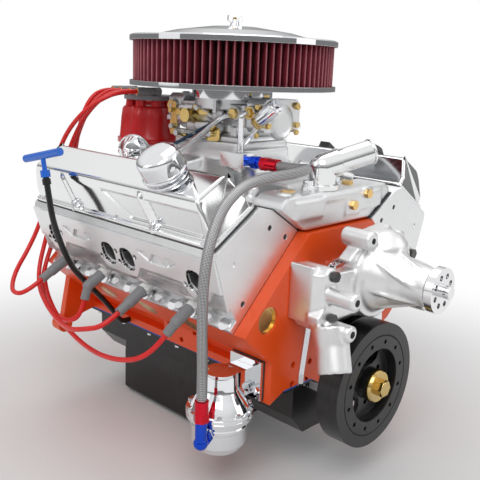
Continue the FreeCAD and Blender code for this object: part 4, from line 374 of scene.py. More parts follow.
NODE_FINISH = {
    "orange": ["engine_block", "main_bearing_caps"],
    "head": ["cylinder_head_driver", "cylinder_head_passenger"],
    "cast": ["intake_manifold", "carburettor_body", "float_bowls", "distributor_housing", "pistons"],
    "pump": ["water_pump_housing"],
    "cover": ["valve_cover_driver", "valve_cover_passenger", "thermostat_housing", "fuel_log"],
    "chrome": ["air_cleaner_base", "air_cleaner_lid", "wing_nut", "timing_cover", "fuel_pump",
               "vacuum_advance", "breather_cap", "bright_bolts", "carburettor_lines"],
    "black": ["oil_pan", "harmonic_balancer", "dipstick_tube"],
    "steel": ["crankshaft", "camshaft", "crank_sprocket", "cam_sprocket", "timing_chain", "oil_pump",
              "primary_throttle", "secondary_throttle", "choke_plate"],
    "hub": ["water_pump_hub"],
    "gold": ["carburettor_fittings", "crank_bolt"],
    "brass": ["brass_plugs"],
    "red_plastic": ["distributor_cap"],
    "grey_rubber": ["spark_plug_boots", "distributor_boots"],
    "blue": ["blue_fittings"],
    "blue_handle": ["dipstick"],
    "red": ["red_fittings"],
    "gasket": ["oil_pan_gasket"],
    "dark_gasket": ["head_gaskets", "intake_gaskets", "valve_cover_gaskets", "fuel_pump_gasket"],
    "black_plastic": ["filler_caps", "distributor_rotor"],
    "ceramic": ["spark_plugs"],
}


def dress(piece, finish):
    """Gives every slot of a piece one finish."""
    piece.data.materials.clear()
    piece.data.materials.append(FINISHES[finish])


for finish, names in NODE_FINISH.items():
    for name in names:
        dress(nodes[name], finish)


# --- cords ---

def route_curve(name, points, diameter):
    """A smooth cord: one open spline of order 3 through the cord's control points."""
    data = bpy.data.curves.new(name, "CURVE")
    data.dimensions = "3D"
    spline = data.splines.new("NURBS")
    spline.points.add(len(points) - 1)
    for control, point in zip(spline.points, points):
        control.co = (*(value / 1000 for value in point), 1.0)
    spline.order_u = 3
    spline.use_endpoint_u = True
    spline.resolution_u = 10
    data.resolution_u = 10
    data.bevel_depth = diameter / 2000
    data.bevel_resolution = 4
    data.use_fill_caps = True
    curve = bpy.data.objects.new(name, data)
    scene.collection.objects.link(curve)
    return curve


WIRE_DIAMETER, HOSE_DIAMETER = 8.0, 15.0
# Each wire: its length, and its control points from the cap to the plug.
PLUG_WIRES = {
    "plug_wire_2": (853.2, [
        (-89, -45.4, 428), (-117, -45.4, 428), (-140, -40, 408), (-153, -32.5, 370), (-160, -27, 324),
        (-167, -23, 276), (-172, -15, 226), (-184, -8.5, 180), (-202, -4.4, 138), (-221, -4.4, 95),
        (-235, -33, 61), (-250, -84.5, 38), (-258, -130.5, 24), (-267, -182.5, 18), (-279, -236.5, 20),
        (-288, -288.5, 26), (-291, -337.5, 36), (-286, -375, 48), (-274.5, -401.4, 70.6),
        (-264, -414.9, 95.3)]),
    "plug_wire_4": (740.0, [
        (-89, -95, 428), (-122, -95, 428), (-150, -81.5, 409), (-168, -61.5, 375), (-180, -42.5, 332),
        (-189, -31.5, 286), (-200, -25.5, 238), (-214, -22.5, 190), (-230, -23.5, 146), (-248, -33.5, 108),
        (-264, -58, 80), (-277, -102.5, 62), (-291, -152.5, 56), (-306, -200.5, 58), (-319, -246.5, 66),
        (-320, -284, 78), (-305.1, -314, 86.7), (-276.4, -314, 103.1)]),
    "plug_wire_6": (617.0, [
        (-89, -66, 428), (-117, -66, 428), (-142, -56, 406), (-157, -43, 368), (-168, -33, 322),
        (-178, -27, 274), (-187, -21.5, 222), (-200, -19, 172), (-219, -21.5, 128), (-240, -32, 92),
        (-257, -58, 64), (-268, -98, 50), (-275, -140, 44), (-278, -177, 50), (-271.3, -202.2, 65.4),
        (-262.8, -202.2, 92.1)]),
    "plug_wire_8": (555.9, [
        (-89, -115.6, 428), (-125, -115.6, 428), (-156, -101, 414), (-180, -76, 388), (-194, -47, 350),
        (-202, -28.5, 306), (-210, -19.5, 260), (-221, -14.5, 214), (-237, -12.5, 172), (-259, -13, 136),
        (-285, -20, 108), (-306, -40, 90), (-318, -64, 80), (-309, -90.5, 84.6), (-276.4, -90.5, 103.1)]),
}

FUEL_HOSE = [
    (-75, -451.5, 333), (-75, -484.5, 333), (-81, -511.5, 337), (-105, -529.5, 339), (-143, -533, 336),
    (-186, -528, 335), (-227, -521.5, 327), (-260, -517, 300), (-277, -514, 258), (-284, -511.5, 208),
    (-283, -509, 156), (-279, -507, 106), (-277, -506.5, 66), (-277, -506.5, 28)]


BRAID_CROSSINGS = (150.0, 12.0)
# Reaches from the filter's axis where the painted valley shade turns to wine red, and where the painted
# highlight on the fold tips starts.
VALLEY_SHADE_TO_RED, FOLD_TIP_HIGHLIGHT = (0.155, 0.170), (0.1695, 0.1718)
GAUZE_UPRIGHT, GAUZE_AROUND = 4200.0, 720.0
PUMP_BOLTS_FROM = -0.555


def braid_finish():
    """Woven steel wire: two sets of strands wound opposite ways, each passing over and under the other."""
    material = bpy.data.materials.new("braided_steel")
    s = blank(material)
    place = s.split(s.place("UV"))
    along, around = (s.math("MULTIPLY", place[i], BRAID_CROSSINGS[i]) for i in (0, 1))
    one = s.math("SINE", s.math("MULTIPLY", s.math("ADD", along, around), math.tau))
    other = s.math("SINE", s.math("MULTIPLY", s.math("SUBTRACT", along, around), math.tau))
    height = s.math("MULTIPLY", s.math("ADD", s.math("MULTIPLY", one, other), 1.0), 0.5)
    # The tone runs to near black where the strands dip under each other: painted shade between the strands.
    tone = s.mix(s.between(height, 0.1, 0.8), (0.03, 0.03, 0.03, 1), (0.62, 0.62, 0.63, 1))
    s.shade(tone, Metallic=1.0, Roughness=0.32, Normal=s.bump(height, 0.6, 0.0008))
    return material


def media_finish():
    """Oiled gauze over pleats: wine red on their sides, with a painted highlight on the outer folds and
    painted shade, nearly black, in the valleys, told apart by the distance from the air cleaner's axis."""
    material = bpy.data.materials.new("pleated_gauze")
    s = blank(material)
    place = s.vector("SUBTRACT", s.place(), (0.0, CARBURETTOR_Y / 1000, 0.0))
    x, y, z = s.split(place)
    reach = s.length(s.node("ShaderNodeCombineXYZ", {0: x, 1: y}).outputs[0])
    turn = s.math("ARCTAN2", y, x)
    # The first colour is painted shade for the pleat valleys and the last a painted highlight for the fold
    # tips; the wine red is the gauze's own.
    dark, wine, pale = (0.006, 0.0005, 0.0015, 1), (0.20, 0.010, 0.026, 1), (0.52, 0.17, 0.20, 1)
    red = s.mix(s.between(reach, *VALLEY_SHADE_TO_RED), dark, wine)
    red = s.mix(s.between(reach, *FOLD_TIP_HIGHLIGHT), red, pale)
    wires = s.math("MULTIPLY", s.math("SINE", s.math("MULTIPLY", z, GAUZE_UPRIGHT)),
                   s.math("SINE", s.math("MULTIPLY", turn, GAUZE_AROUND)))
    blotch = s.noise(place, 40.0, 3.0)
    red = s.mix(s.between(blotch, 0.3, 0.8, 0.0, 0.35), red, (0.10, 0.004, 0.012, 1))
    s.shade(red, Roughness=0.62, Normal=s.bump(wires, 0.5, 0.0005))
    return material


def bolt_finish():
    """Bright plated bolts on the heads and black ones at the pump, told apart by how far forward they sit."""
    material = bpy.data.materials.new("bolt_plating")
    s = blank(material)
    at_pump = s.math("LESS_THAN", s.split(s.place())[1], PUMP_BOLTS_FROM)
    colour = s.mix(at_pump, (0.70, 0.70, 0.71, 1), (0.012, 0.012, 0.013, 1))
    used = s.node("ShaderNodeGroup", {"Colour": colour, "Amount": 0.3}, node_tree=SMEARS)
    dull = s.between(used.outputs["Mask"], 0.0, 1.0, 0.22, 0.5, smooth=False)
    s.shade(used.outputs["Colour"], Roughness=dull, Metallic=s.math("SUBTRACT", 1.0, at_pump))
    return material


FINISHES.update(braid=braid_finish(), media=media_finish(), bolt_plating=bolt_finish())
dress(nodes["dark_bolts"], "bolt_plating")


def make_cords():
    """The four plug wires on the passenger's side and the braided fuel hose."""
    for name, (length, points) in PLUG_WIRES.items():
        wire = route_curve(name + "_cord", points, WIRE_DIAMETER)
        wire.data.materials.append(FINISHES["red_rubber"])
        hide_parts(name)
        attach(wire, "block")
    hose = route_curve("fuel_hose_cord", FUEL_HOSE, HOSE_DIAMETER)
    hose.data.bevel_resolution = 8
    hose.data.materials.append(FINISHES["braid"])
    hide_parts("fuel_hose")
    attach(hose, "block")


make_cords()


# --- forms worked out on grids ---


def unit(vector):
    vector = np.asarray(vector, float)
    return vector / np.linalg.norm(vector)


def square_to(axis):
    """Two directions at right angles to an axis and to each other."""
    helper = (0.0, 0.0, 1.0) if abs(axis[2]) < 0.9 else (0.0, 1.0, 0.0)
    side = unit(np.cross(helper, axis))
    return side, np.cross(axis, side)


def grid_faces(rows, columns, along=False):
    """Quads of a grid of points, closed round its columns, and from its last row to its first where asked."""
    row = np.arange(rows if along else rows - 1)
    r, c = (part.ravel() for part in np.meshgrid(row, np.arange(columns), indexing="ij"))
    next_r, next_c = (r + 1) % rows * columns, (c + 1) % columns
    r = r * columns
    return np.stack([r + c, r + next_c, next_r + next_c, next_r + c], 1)


def level_ring(centre, radius, turn, z):
    """Points at one height round a centre, one for each angle, with one radius or a radius for each."""
    x, y = centre
    return np.stack([x + radius * np.cos(turn), y + radius * np.sin(turn), np.full_like(turn, z)], -1)


def seats_round(centre, radius, count, first, z):
    """Evenly spaced places on a level circle, the first at an angle in degrees."""
    return level_ring(centre, radius, np.radians(360 / count * np.arange(count) + first), z)


def closed_rows(points, hollow=False):
    """Rings of points joined to a closed form: the last ring meets the first, or both ends are filled."""
    rows, columns = points.shape[:2]
    faces = grid_faces(rows, columns, along=hollow).tolist()
    if not hollow:
        faces += [list(range(columns)), list(range((rows - 1) * columns, rows * columns))]
    return points.reshape(-1, 3), faces


def turned(seat, axis, profile, sides=40, hollow=False):
    """A turned form: each profile point (distance along the axis, radius) is carried round in a circle."""
    axis = unit(axis)
    side, up = square_to(axis)
    along, radius = np.asarray(profile, float).T
    turn = np.arange(sides) * math.tau / sides
    ring = np.cos(turn)[:, None] * side + np.sin(turn)[:, None] * up
    return closed_rows(np.asarray(seat) + along[:, None, None] * axis + radius[:, None, None] * ring, hollow)


def bar(start, end, radius):
    """A round bar between two points with its ends chamfered."""
    reach = np.subtract(end, start)
    length = np.linalg.norm(reach)
    edge = min(0.6, radius * 0.3)
    tip = radius - edge
    return turned(start, reach, [(0, tip), (edge, radius), (length - edge, radius), (length, tip)], 20)


def hexagon(seat, axis, flats, height):
    """A hexagon head with its corners turned away at the top."""
    corner = flats / math.sqrt(3)
    return turned(seat, axis, [(0, corner), (height - 1.2, corner), (height, corner * 0.86)], 6)


def through(points):
    """A smooth line through its points: the cubic that takes each point's slope from its two neighbours."""
    p = np.asarray(points, float)
    p = np.vstack([2 * p[0] - p[1], p, 2 * p[-1] - p[-2]])
    t = np.arange(8)[:, None] / 8
    runs = []
    for a, b, c, d in zip(p[:-3], p[1:-2], p[2:-1], p[3:]):
        runs.append(b + 0.5 * t * (c - a + t * (2 * a - 5 * b + 4 * c - d + t * (3 * (b - c) + d - a))))
    return np.vstack(runs + [p[-2:-1]])


def carried(path, radius, sides=12):
    """A round section carried along a path, each ring square to it and turned as little as it can be."""
    path = np.asarray(path, float)
    slope = np.gradient(path, axis=0)
    slope /= np.linalg.norm(slope, axis=1)[:, None]
    side = square_to(slope[0])[0]
    turn = np.arange(sides) * math.tau / sides
    rings = []
    for place, ahead, size in zip(path, slope, np.broadcast_to(radius, len(path))):
        side = unit(side - ahead * np.dot(side, ahead))
        up = np.cross(ahead, side)
        rings.append(place + size * (np.cos(turn)[:, None] * side + np.sin(turn)[:, None] * up))
    return closed_rows(np.array(rings))


def bent_rod(points, radius, sides=12):
    """A round rod or pipe along the smooth line through its points."""
    return carried(through(points), radius, sides)


def plate(outline, seat, right, up, thick):
    """A flat outline, in the directions right and up from its seat, given a thickness square to both."""
    outline, right, up = np.asarray(outline, float), unit(right), unit(up)
    flat = np.asarray(seat) + outline[:, :1] * right + outline[:, 1:] * up
    return closed_rows(np.stack([flat, flat + thick * np.cross(right, up)]))


def box(low, high):
    """A block between two opposite corners."""
    (x0, y0, z0), (x1, y1, z1) = low, high
    outline = [(x0, z0), (x1, z0), (x1, z1), (x0, z1)]
    return plate(outline, (0, y1, 0), (1, 0, 0), (0, 0, 1), y1 - y0)


def rounded(corners, radius, share=5):
    """A closed outline whose corners are short curves, each starting and ending a radius from its corner."""
    corners = np.asarray(corners, float)
    made = []
    for before, corner, after, reach in zip(np.roll(corners, 1, 0), corners, np.roll(corners, -1, 0),
                                            np.broadcast_to(radius, len(corners))):
        first, last = corner + unit(before - corner) * reach, corner + unit(after - corner) * reach
        t = np.linspace(0, 1, share)[:, None]
        made.append((1 - t) ** 2 * first + 2 * t * (1 - t) * corner + t ** 2 * last)
    return np.vstack(made)


def together(*forms):
    """Points and faces of several forms as one."""
    points, faces, count = [], [], 0
    for some_points, some_faces in forms:
        points.append(some_points)
        faces += [[index + count for index in face] for face in some_faces]
        count += len(some_points)
    return np.vstack(points), faces


def settle(mesh, crease):
    """Turns every face outwards and shades it smooth, with creases kept sharp."""
    work = bmesh.new()
    work.from_mesh(mesh)
    bmesh.ops.recalc_face_normals(work, faces=work.faces)
    work.to_mesh(mesh)
    work.free()
    mesh.polygons.foreach_set("use_smooth", np.ones(len(mesh.polygons), bool))
    mesh.set_sharp_from_angle(angle=math.radians(crease))


def place_piece(name, mesh, finish, body, replaces=()):
    """Puts a mesh in the scene under its name, with its finish, its body and what it replaces."""
    made = bpy.data.objects.new(name, mesh)
    mesh.materials.append(FINISHES[finish])
    scene.collection.objects.link(made)
    if replaces:
        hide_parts(*replaces)
    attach(made, body)
    return made


def mesh_of(name, form):
    """A mesh in metres from a form in millimetres."""
    points, faces = form
    mesh = bpy.data.meshes.new(name)
    mesh.from_pydata((points / 1000).tolist(), [], faces)
    return mesh


def piece(name, form, finish, body="block", replaces=(), bevel=0.0, crease=35):
    """One piece from a form in millimetres; a bevel rounds its creases."""
    mesh = mesh_of(name, form)
    settle(mesh, crease)
    made = place_piece(name, mesh, finish, body, replaces)
    if bevel:
        edge = made.modifiers.new("edges", "BEVEL")
        edge.width, edge.segments, edge.limit_method = bevel / 1000, 2, "ANGLE"
        edge.angle_limit = math.radians(crease)
    return made


def cast_again(name, node, added, voxel, rounds, finish):
    """A casting with rounded edges and inner corners: a merged copy of the node and the added forms
    are measured again on an even grid of voxel millimetres and smoothed for some rounds."""
    mesh = mesh_of(name + "_rough", added)
    work = bmesh.new()
    work.from_mesh(nodes[node].data)
    bmesh.ops.remove_doubles(work, verts=work.verts, dist=1e-6)
    forms = bmesh.new()
    forms.from_mesh(mesh)
    bmesh.ops.recalc_face_normals(forms, faces=forms.faces)
    forms.to_mesh(mesh)
    forms.free()
    work.from_mesh(mesh)
    work.to_mesh(mesh)
    work.free()
    rough = bpy.data.objects.new(name + "_rough", mesh)
    scene.collection.objects.link(rough)
    again = rough.modifiers.new("even", "REMESH")
    again.mode, again.voxel_size = "VOXEL", voxel / 1000
    soft = rough.modifiers.new("soft", "SMOOTH")
    soft.factor, soft.iterations = 0.5, rounds
    made = bpy.data.meshes.new_from_object(rough.evaluated_get(bpy.context.evaluated_depsgraph_get()))
    bpy.data.objects.remove(rough)
    made.name = name
    made.materials.clear()
    made.polygons.foreach_set("use_smooth", np.ones(len(made.polygons), bool))
    return place_piece(name, made, finish, "block", (node,))


# --- places ---

HALF = math.sqrt(0.5)
RAIL_UP, RAIL_OUT = 322.2, -84.0
RAIL_LEAN = (0.2095, 0.9778)


def bank(side, up, out, y):
    """A point of one cylinder bank, from its height along the bores and its distance outwards."""
    up, out, y = np.broadcast_arrays(up, out, y)
    return np.stack([side * (up + out) * HALF, y * 1.0, (up - out) * HALF], -1)


def rail(side, across, high, y):
    """A point over the head's cover rail, from its distance across the rail and its height above it."""
    lean, run = RAIL_LEAN
    return bank(side, RAIL_UP + lean * np.asarray(across) + run * np.asarray(high),
                RAIL_OUT + run * np.asarray(across) - lean * np.asarray(high), y)


COVER_FRONT = {PASSENGER: -496.15, DRIVER: -518.5}
COVER_LENGTH = 452.0
HEAD_FRONT = {PASSENGER: station(24.35), DRIVER: station(2.0)}
HEAD_LENGTH = 466.0
FIRST_PLUG, BORE_SPACING = 47.4, 111.76


# --- air cleaner ---

ELEMENT_LOW, ELEMENT_HIGH, ELEMENT_RADIUS = 446.0, 522.0, 172.0
PLEATS, PLEAT_DEPTH, PLEAT_STEPS = 88, 17.0, 14
ELEMENT_WALL = 9
END_BAND = [(0, 140), (0, 171), (1.2, 173), (3.0, 173), (4.2, 171), (4.2, 140)]


def pleated_element():
    """Pleats: the outer radius rises and falls as a narrow rounded fold with the angle, round a plain
    inner wall; a ring at each end holds them."""
    steps = PLEATS * PLEAT_STEPS
    turn = np.arange(steps) * math.tau / steps
    fold = 0.5 + 0.5 * np.cos(turn * PLEATS)
    outer = ELEMENT_RADIUS - PLEAT_DEPTH * (1 - fold ** 0.9)
    inner = np.full_like(outer, ELEMENT_RADIUS - PLEAT_DEPTH - ELEMENT_WALL)
    low, high = ELEMENT_LOW + 3, ELEMENT_HIGH - 3
    rows = [(outer, low), (outer, (low + high) / 2), (outer, high), (inner, high), (inner, low)]
    points = [level_ring((0, CARBURETTOR_Y), r, turn, z) for r, z in rows]
    piece("pleated_element", closed_rows(np.array(points), True), "media",
          replaces=("air_filter_element",), crease=70)
    bands = [turned((0, CARBURETTOR_Y, z), UPWARD, END_BAND, 144, True)
             for z in (ELEMENT_LOW + 0.1, ELEMENT_HIGH - 4.3)]
    piece("element_end_bands", together(*bands), "element_band")


pleated_element()


# --- valve covers ---

COVER_SECTION = [(7, 3), (94.2, 3), (80.2, 55), (72.2, 67), (14, 64), (10, 59)]
RIB_STATIONS = (-102.0, 102.0)
RIB_LEAN, RIB_HALF, RIB_PROUD = 0.38, 5.5, 4.2
PANEL_DEPTH = 3.6
COVER_END_SLOPE = math.tan(math.radians(22))
COVER_EDGE = 5
COVER_BOSS = [(0, 10), (5, 9.5), (6.5, 8)]
COVER_SCREW = [(0, 8.5), (1.6, 8.5), (1.7, 5.2), (6.5, 5.2), (7.3, 4.4), (7.2, 2.6), (4, 2.5)]


def smooth_step(value, low, high):
    """0 at low and before, 1 at high and after, with a level start and end between them."""
    t = np.clip((value - low) / (high - low), 0, 1)
    return t * t * (3 - 2 * t)


def cover_relief(along, across, high):
    """How far the sloping face stands out: half-round ribs that lean back, an edge rib at the front, and
    two sunk panels whose borders are soft steps. along is measured from the cover's middle, rearwards."""
    face = smooth_step(across, 74, 79) * smooth_step(high, 8, 12)
    lean = RIB_LEAN * (high - 3)
    relief = np.zeros_like(along * high)
    for middle in RIB_STATIONS:
        across_rib = np.abs(along - middle - lean) / RIB_HALF
        rib = RIB_PROUD * np.sqrt(np.clip(1 - across_rib ** 2, 0, 1))
        relief = np.maximum(relief, rib * smooth_step(high, 62, 54))
    half = COVER_LENGTH / 2
    inside = smooth_step(high, 13, 16) * smooth_step(high, 53, 49)
    front_rib = along - RIB_STATIONS[0] - lean
    panel = smooth_step(front_rib, -7, -10) * smooth_step(along, -half + 18, -half + 22)
    end = (50 - high) * 1.7
    web = smooth_step(front_rib, 7, 10) * smooth_step(along, 18 - end, 14 - end)
    return face * (relief - PANEL_DEPTH * inside * (panel + web))


def valve_cover_skin(side, name, node):
    """The cover's section, rounded at its corners, is carried along the engine between two sloping ends;
    near each end it draws in as a quarter circle, and the sloping face takes its ribs and panels."""
    corners = rounded(COVER_SECTION, [1.0, 1.0, 5.5, 5.5, 5.0, 3.0], 6)
    steps = np.linalg.norm(np.diff(np.vstack([corners, corners[:1]]), axis=0), axis=1)
    reach = np.concatenate([[0], np.cumsum(steps)])
    even = np.linspace(0, reach[-1], 200, endpoint=False)
    across = np.interp(even, reach, np.append(corners[:, 0], corners[0, 0]))
    high = np.interp(even, reach, np.append(corners[:, 1], corners[0, 1]))
    outward = np.stack([np.roll(high, -1) - np.roll(high, 1), np.roll(across, 1) - np.roll(across, -1)], 1)
    outward /= np.linalg.norm(outward, axis=1)[:, None]
    start = COVER_FRONT[side] + 3
    length = COVER_LENGTH - 6
    edge = np.array([0, 0.15, 0.5, 1.1, 2.0, 3.0, 4.0, 5.0])
    stations = np.concatenate([edge, np.arange(6.5, length - 6, 1.6), length - edge[::-1]])
    slope = COVER_END_SLOPE * np.clip(high - 23, 0, None)
    y = start + slope + stations[:, None] / length * (length - 2 * slope)
    from_end = np.minimum(stations, length - stations)
    inwards = np.clip(COVER_EDGE - from_end, 0, COVER_EDGE)
    draw_in = COVER_EDGE - np.sqrt(np.clip(COVER_EDGE ** 2 - inwards ** 2, 0, None))
    middle = start + length / 2
    relief = cover_relief(y - middle, across, high) - draw_in[:, None]
    lifted = outward[:, 1] * relief * smooth_step(high, 3, 9)
    points = rail(side, across + outward[:, 0] * relief, high + lifted, y)
    flange = rounded([(1, 0.2), (99.2, 0.2), (99.2, COVER_LENGTH - 0.2), (1, COVER_LENGTH - 0.2)], 8, 8)
    x, y = flange.T
    rows = [rail(side, x + shift * np.sign(50 - x), level, COVER_FRONT[side] + y)
            for level, shift in ((3, 0), (7, 0), (8, 1))]
    lift = rail(side, 0, 1, 0) - rail(side, 0, 0, 0)
    bosses, screws = ([turned(rail(side, 93.5, level, middle + along), lift, profile, sides)
                       for along in RIB_STATIONS]
                      for level, profile, sides in ((7.5, COVER_BOSS, 28), (14, COVER_SCREW, 24)))
    skin = together(closed_rows(points), closed_rows(np.array(rows)), *bosses)
    piece(name, skin, "cover", replaces=(node,), crease=50)
    piece(name + "_screws", together(*screws), "chrome")


valve_cover_skin(PASSENGER, "valve_cover_skin_passenger", "valve_cover_passenger")
valve_cover_skin(DRIVER, "valve_cover_skin_driver", "valve_cover_driver")


def breather():
    """A spun cap with a rolled rim and a domed top on a dark neck, over a bright ring on the cover."""
    y = station(142)
    seat = rail(PASSENGER, 42, 0, y)
    lift = rail(PASSENGER, 42, 1, y) - seat
    cap = [(75, 20), (75, 32.5), (76, 34.4), (78.5, 35), (80.5, 34.2), (81.5, 33.2), (84, 33), (101, 33),
           (105, 32.3), (108, 30.4), (110, 27.6), (111.2, 23), (112, 14), (112.2, 0.1)]
    piece("breather_cap_shell", turned(seat, lift, cap, 64), "chrome", "breather", ("breather_cap",),
          crease=40)
    piece("breather_neck", turned(seat, lift, [(54, 18.8), (75.5, 18.8)], 40), "black_plastic", "breather")
    ring = [(66, 19.2), (66, 31), (67.5, 32), (69.5, 31.5), (70.5, 29), (71.5, 24), (73, 22), (73, 19.2)]
    piece("breather_seat_ring", turned(seat, lift, ring, 48, True), "chrome")


breather()


# --- cylinder heads ---

FACE_LOW, FACE_HIGH = (262.2, 60.0), (338.2, 22.0)
PORT_OFFSETS = (-182.0, -24.5, 24.5, 182.0)
PORT_UP = 39.0
PAD_PROUD, POCKET_DEPTH, PORT_DEPTH = 4.0, 9.0, 30
PORT_SHADE_FROM = 0.1


def exhaust_relief(along, rise):
    """Height of the exhaust face over the casting, from the distance along the head and up the face: a raised
    pad with a scalloped lower edge, oval ports sunk deep, three-sided pockets between them and stud holes."""
    scallop = np.zeros_like(along)
    for middle, reach in ((-182, 34), (0, 58), (182, 34)):
        scallop = np.maximum(scallop, smooth_step(np.abs(along - middle), reach, reach - 22))
    lower = 30 - 22 * scallop
    proud = PAD_PROUD * smooth_step(rise, lower - 1.5, lower + 1.5) * smooth_step(np.abs(along), 233, 231)
    pockets = np.zeros_like(along)
    for middle in (-103, 103):
        for shift, half, turn in ((-32, 11, 1), (0, 14, 0), (32, 11, -1)):
            x = along - middle - shift
            height = rise - 56
            wide, bottom = half, -8
            if turn:
                bottom = -8 + np.clip(-turn * x + half, 0, 2 * half) * 0.55
            else:
                wide = half * (1 - np.clip(height, -9, 9) / 9 * 0.45)
            inside = smooth_step(np.abs(x), wide, wide - 2) * smooth_step(height, bottom, bottom + 2)
            pockets = np.maximum(pockets, inside * smooth_step(height, 9, 7))
    relief = proud - POCKET_DEPTH * pockets * smooth_step(rise, lower, lower + 3)
    deep = np.zeros_like(along)
    for middle in PORT_OFFSETS:
        x, height = (along - middle) / 15.0, (rise - PORT_UP) / 18.0
        ring = (np.abs(x) ** 2.8 + np.abs(height) ** 2.8) ** (1 / 2.8)
        deep = np.maximum(deep, smooth_step(ring, 1.08, 1.0))
        for hole in (-1, 1):
            near = np.hypot(along - middle - hole * 22.5, rise - PORT_UP + hole * 9)
            deep = np.maximum(deep, 0.35 * smooth_step(near, 3.9, 3.1))
    return relief * (1 - deep) - PORT_DEPTH * deep, deep


def exhaust_face(side, name):
    """The relief is laid over the head's exhaust face on an even grid; its back lies inside the casting.
    The sides and floors of the ports and stud holes are painted near black, as painted shade."""
    low, high = np.array(FACE_LOW), np.array(FACE_HIGH)
    length = np.linalg.norm(high - low)
    slope = (high - low) / length
    outward = np.array([-slope[1], slope[0]])
    along = np.linspace(-HEAD_LENGTH / 2 + 0.5, HEAD_LENGTH / 2 - 0.5, 390)
    rise = np.linspace(0.5, length - 0.5, 78)
    relief, deep = exhaust_relief(*np.meshgrid(along, rise, indexing="ij"))
    back = np.full((len(along), 1), -3.0 - PORT_DEPTH)
    relief = np.hstack([back, relief, back])
    rise = np.concatenate([rise[:1], rise, rise[-1:]])
    up = low[0] + slope[0] * rise + outward[0] * relief
    out = low[1] + slope[1] * rise + outward[1] * relief
    middle = HEAD_FRONT[side] + HEAD_LENGTH / 2
    form = closed_rows(bank(side, up, out, (middle + along)[:, None]))
    made = piece(name, form, "head", crease=60)
    # Faces sunk into the ports and stud holes take the near-black finish: painted shade inside them.
    made.data.materials.append(FINISHES["black_rubber_and_painted_shade"])
    depth = np.hstack([np.zeros_like(back), deep, np.zeros_like(back)]).ravel()
    dark = np.zeros(len(made.data.polygons), np.int32)
    grid = np.asarray(form[1][:-2])
    dark[:len(grid)] = depth[grid].mean(1) > PORT_SHADE_FROM
    made.data.polygons.foreach_set("material_index", dark)


exhaust_face(PASSENGER, "exhaust_face_passenger")
exhaust_face(DRIVER, "exhaust_face_driver")


def head_bolt_washers():
    """A bright washer on each side of every spark plug, on the lower step of both heads."""
    washers = []
    for side in SIDES:
        upward = bank(side, 1, 0, 0) - bank(side, 0, 0, 0)
        for plug in range(4):
            for shift in (-32, 32):
                seat = bank(side, 231.5, 68.3, HEAD_FRONT[side] + FIRST_PLUG + BORE_SPACING * plug + shift)
                washers.append(turned(seat + upward * 6.5, upward, [(0, 10.5), (1.8, 10.5), (1.9, 7)], 28))
    piece("head_bolt_washers", together(*washers), "chrome")


head_bolt_washers()


# --- water pump ---

PUMP_AXIS = 180.0
PUMP_LEG = 104.0
# The bosses of each pump leg: how high they sit and where they end in front.
LEG_BOSSES = ((165, -634), (117, -630))
UPPER_BOSS_END = -611
SNOUT_PROFILE = [(0, 57), (8, 54), (18, 47), (34, 39), (55, 33), (80, 29.5), (90, 28.5)]
DOME_PROFILE = [(-30, 12), (-22, 30), (-8, 39), (8, 39), (22, 32), (31, 20), (35, 6)]


def snout_fin(start_turn):
    """A web on the bearing snout: a thin wall that runs from the volute to the hub and turns a third of
    a quarter on its way, lower towards the hub."""
    share = np.linspace(0, 1, 14)
    turn = math.radians(start_turn) + share * 0.75
    y = -600 - 78 * share
    inner = np.full_like(share, 22.0)
    outer = 58 - 27 * share ** 0.8
    half = 3.4 - share
    rows = []
    for radius, sign in ((inner, -1), (outer, -1), (outer, 1), (inner, 1)):
        angle = turn + sign * half / radius
        rows.append(np.stack([radius * np.cos(angle), y, PUMP_AXIS + radius * np.sin(angle)], -1))
    return closed_rows(np.stack(rows, 1))


def pump_casting():
    """A ribbed bearing snout, the bosses of both legs, a web to each leg and a dome over the volute,
    cast again with the housing; near-black discs stand in the threaded holes as painted shade."""
    forms = [snout_fin(turn) for turn in (20, 75, 130, 185, 240, 300)]
    forms.append(turned((0, -601, PUMP_AXIS), FORWARD, SNOUT_PROFILE, 64))
    holes = []
    for side in SIDES:
        x = side * PUMP_LEG
        for level, end in LEG_BOSSES:
            forms.append(bar((x, -532, level), (x, end, level), 12.5))
            # A near-black disc on the boss end: painted shade where a threaded hole would be.
            holes.append(turned((x, end - 0.3, level), REARWARD, [(0, 5.4), (2, 5.4)], 24))
        forms.append(bar((side * 96, -575, 118), (side * 30, -590, 176), 9))
    forms.append(bar((-40, -560, 240), (-40, UPPER_BOSS_END, 240), 14))
    forms.append(bar((46, -560, 228), (46, -604, 228), 15))
    forms.append(turned((8, -598, 214), (0, 0.25, 1), DOME_PROFILE, 40))
    cast_again("water_pump_casting", "water_pump_housing", together(*forms), 2.3, 5, "pump")
    # The same painted shade disc on the upper boss.
    holes.append(turned((-40, UPPER_BOSS_END - 0.3, 240), REARWARD, [(0, 4.6), (2, 4.6)], 24))
    piece("pump_thread_hole_shade", together(*holes), "black_rubber_and_painted_shade")


pump_casting()


# --- front: hub, balancer, bolt ---

BALANCER_FRONT = -610.5


def balancer_face():
    """A rubber ring in the groove of the balancer, and its bolt with a dished washer."""
    ring = [(0.4, 80.6), (0.4, 82.9), (2.4, 82.9), (2.4, 80.6)]
    washer = [(0, 27), (4, 27), (6.5, 26), (9, 24.5), (9.3, 12)]
    piece("balancer_rubber", turned((0, BALANCER_FRONT, 0), REARWARD, ring, 96, True), "black_rubber_and_painted_shade", "crank")
    piece("crank_bolt_washer", turned((0, BALANCER_FRONT + 1.5, 0), FORWARD, washer, 48), "gold", "crank")
    piece("crank_bolt_head", hexagon((0, BALANCER_FRONT - 7, 0), FORWARD, 24, 13), "gold", "crank",
          ("crank_bolt",), bevel=0.6)


balancer_face()


# --- thermostat housing ---

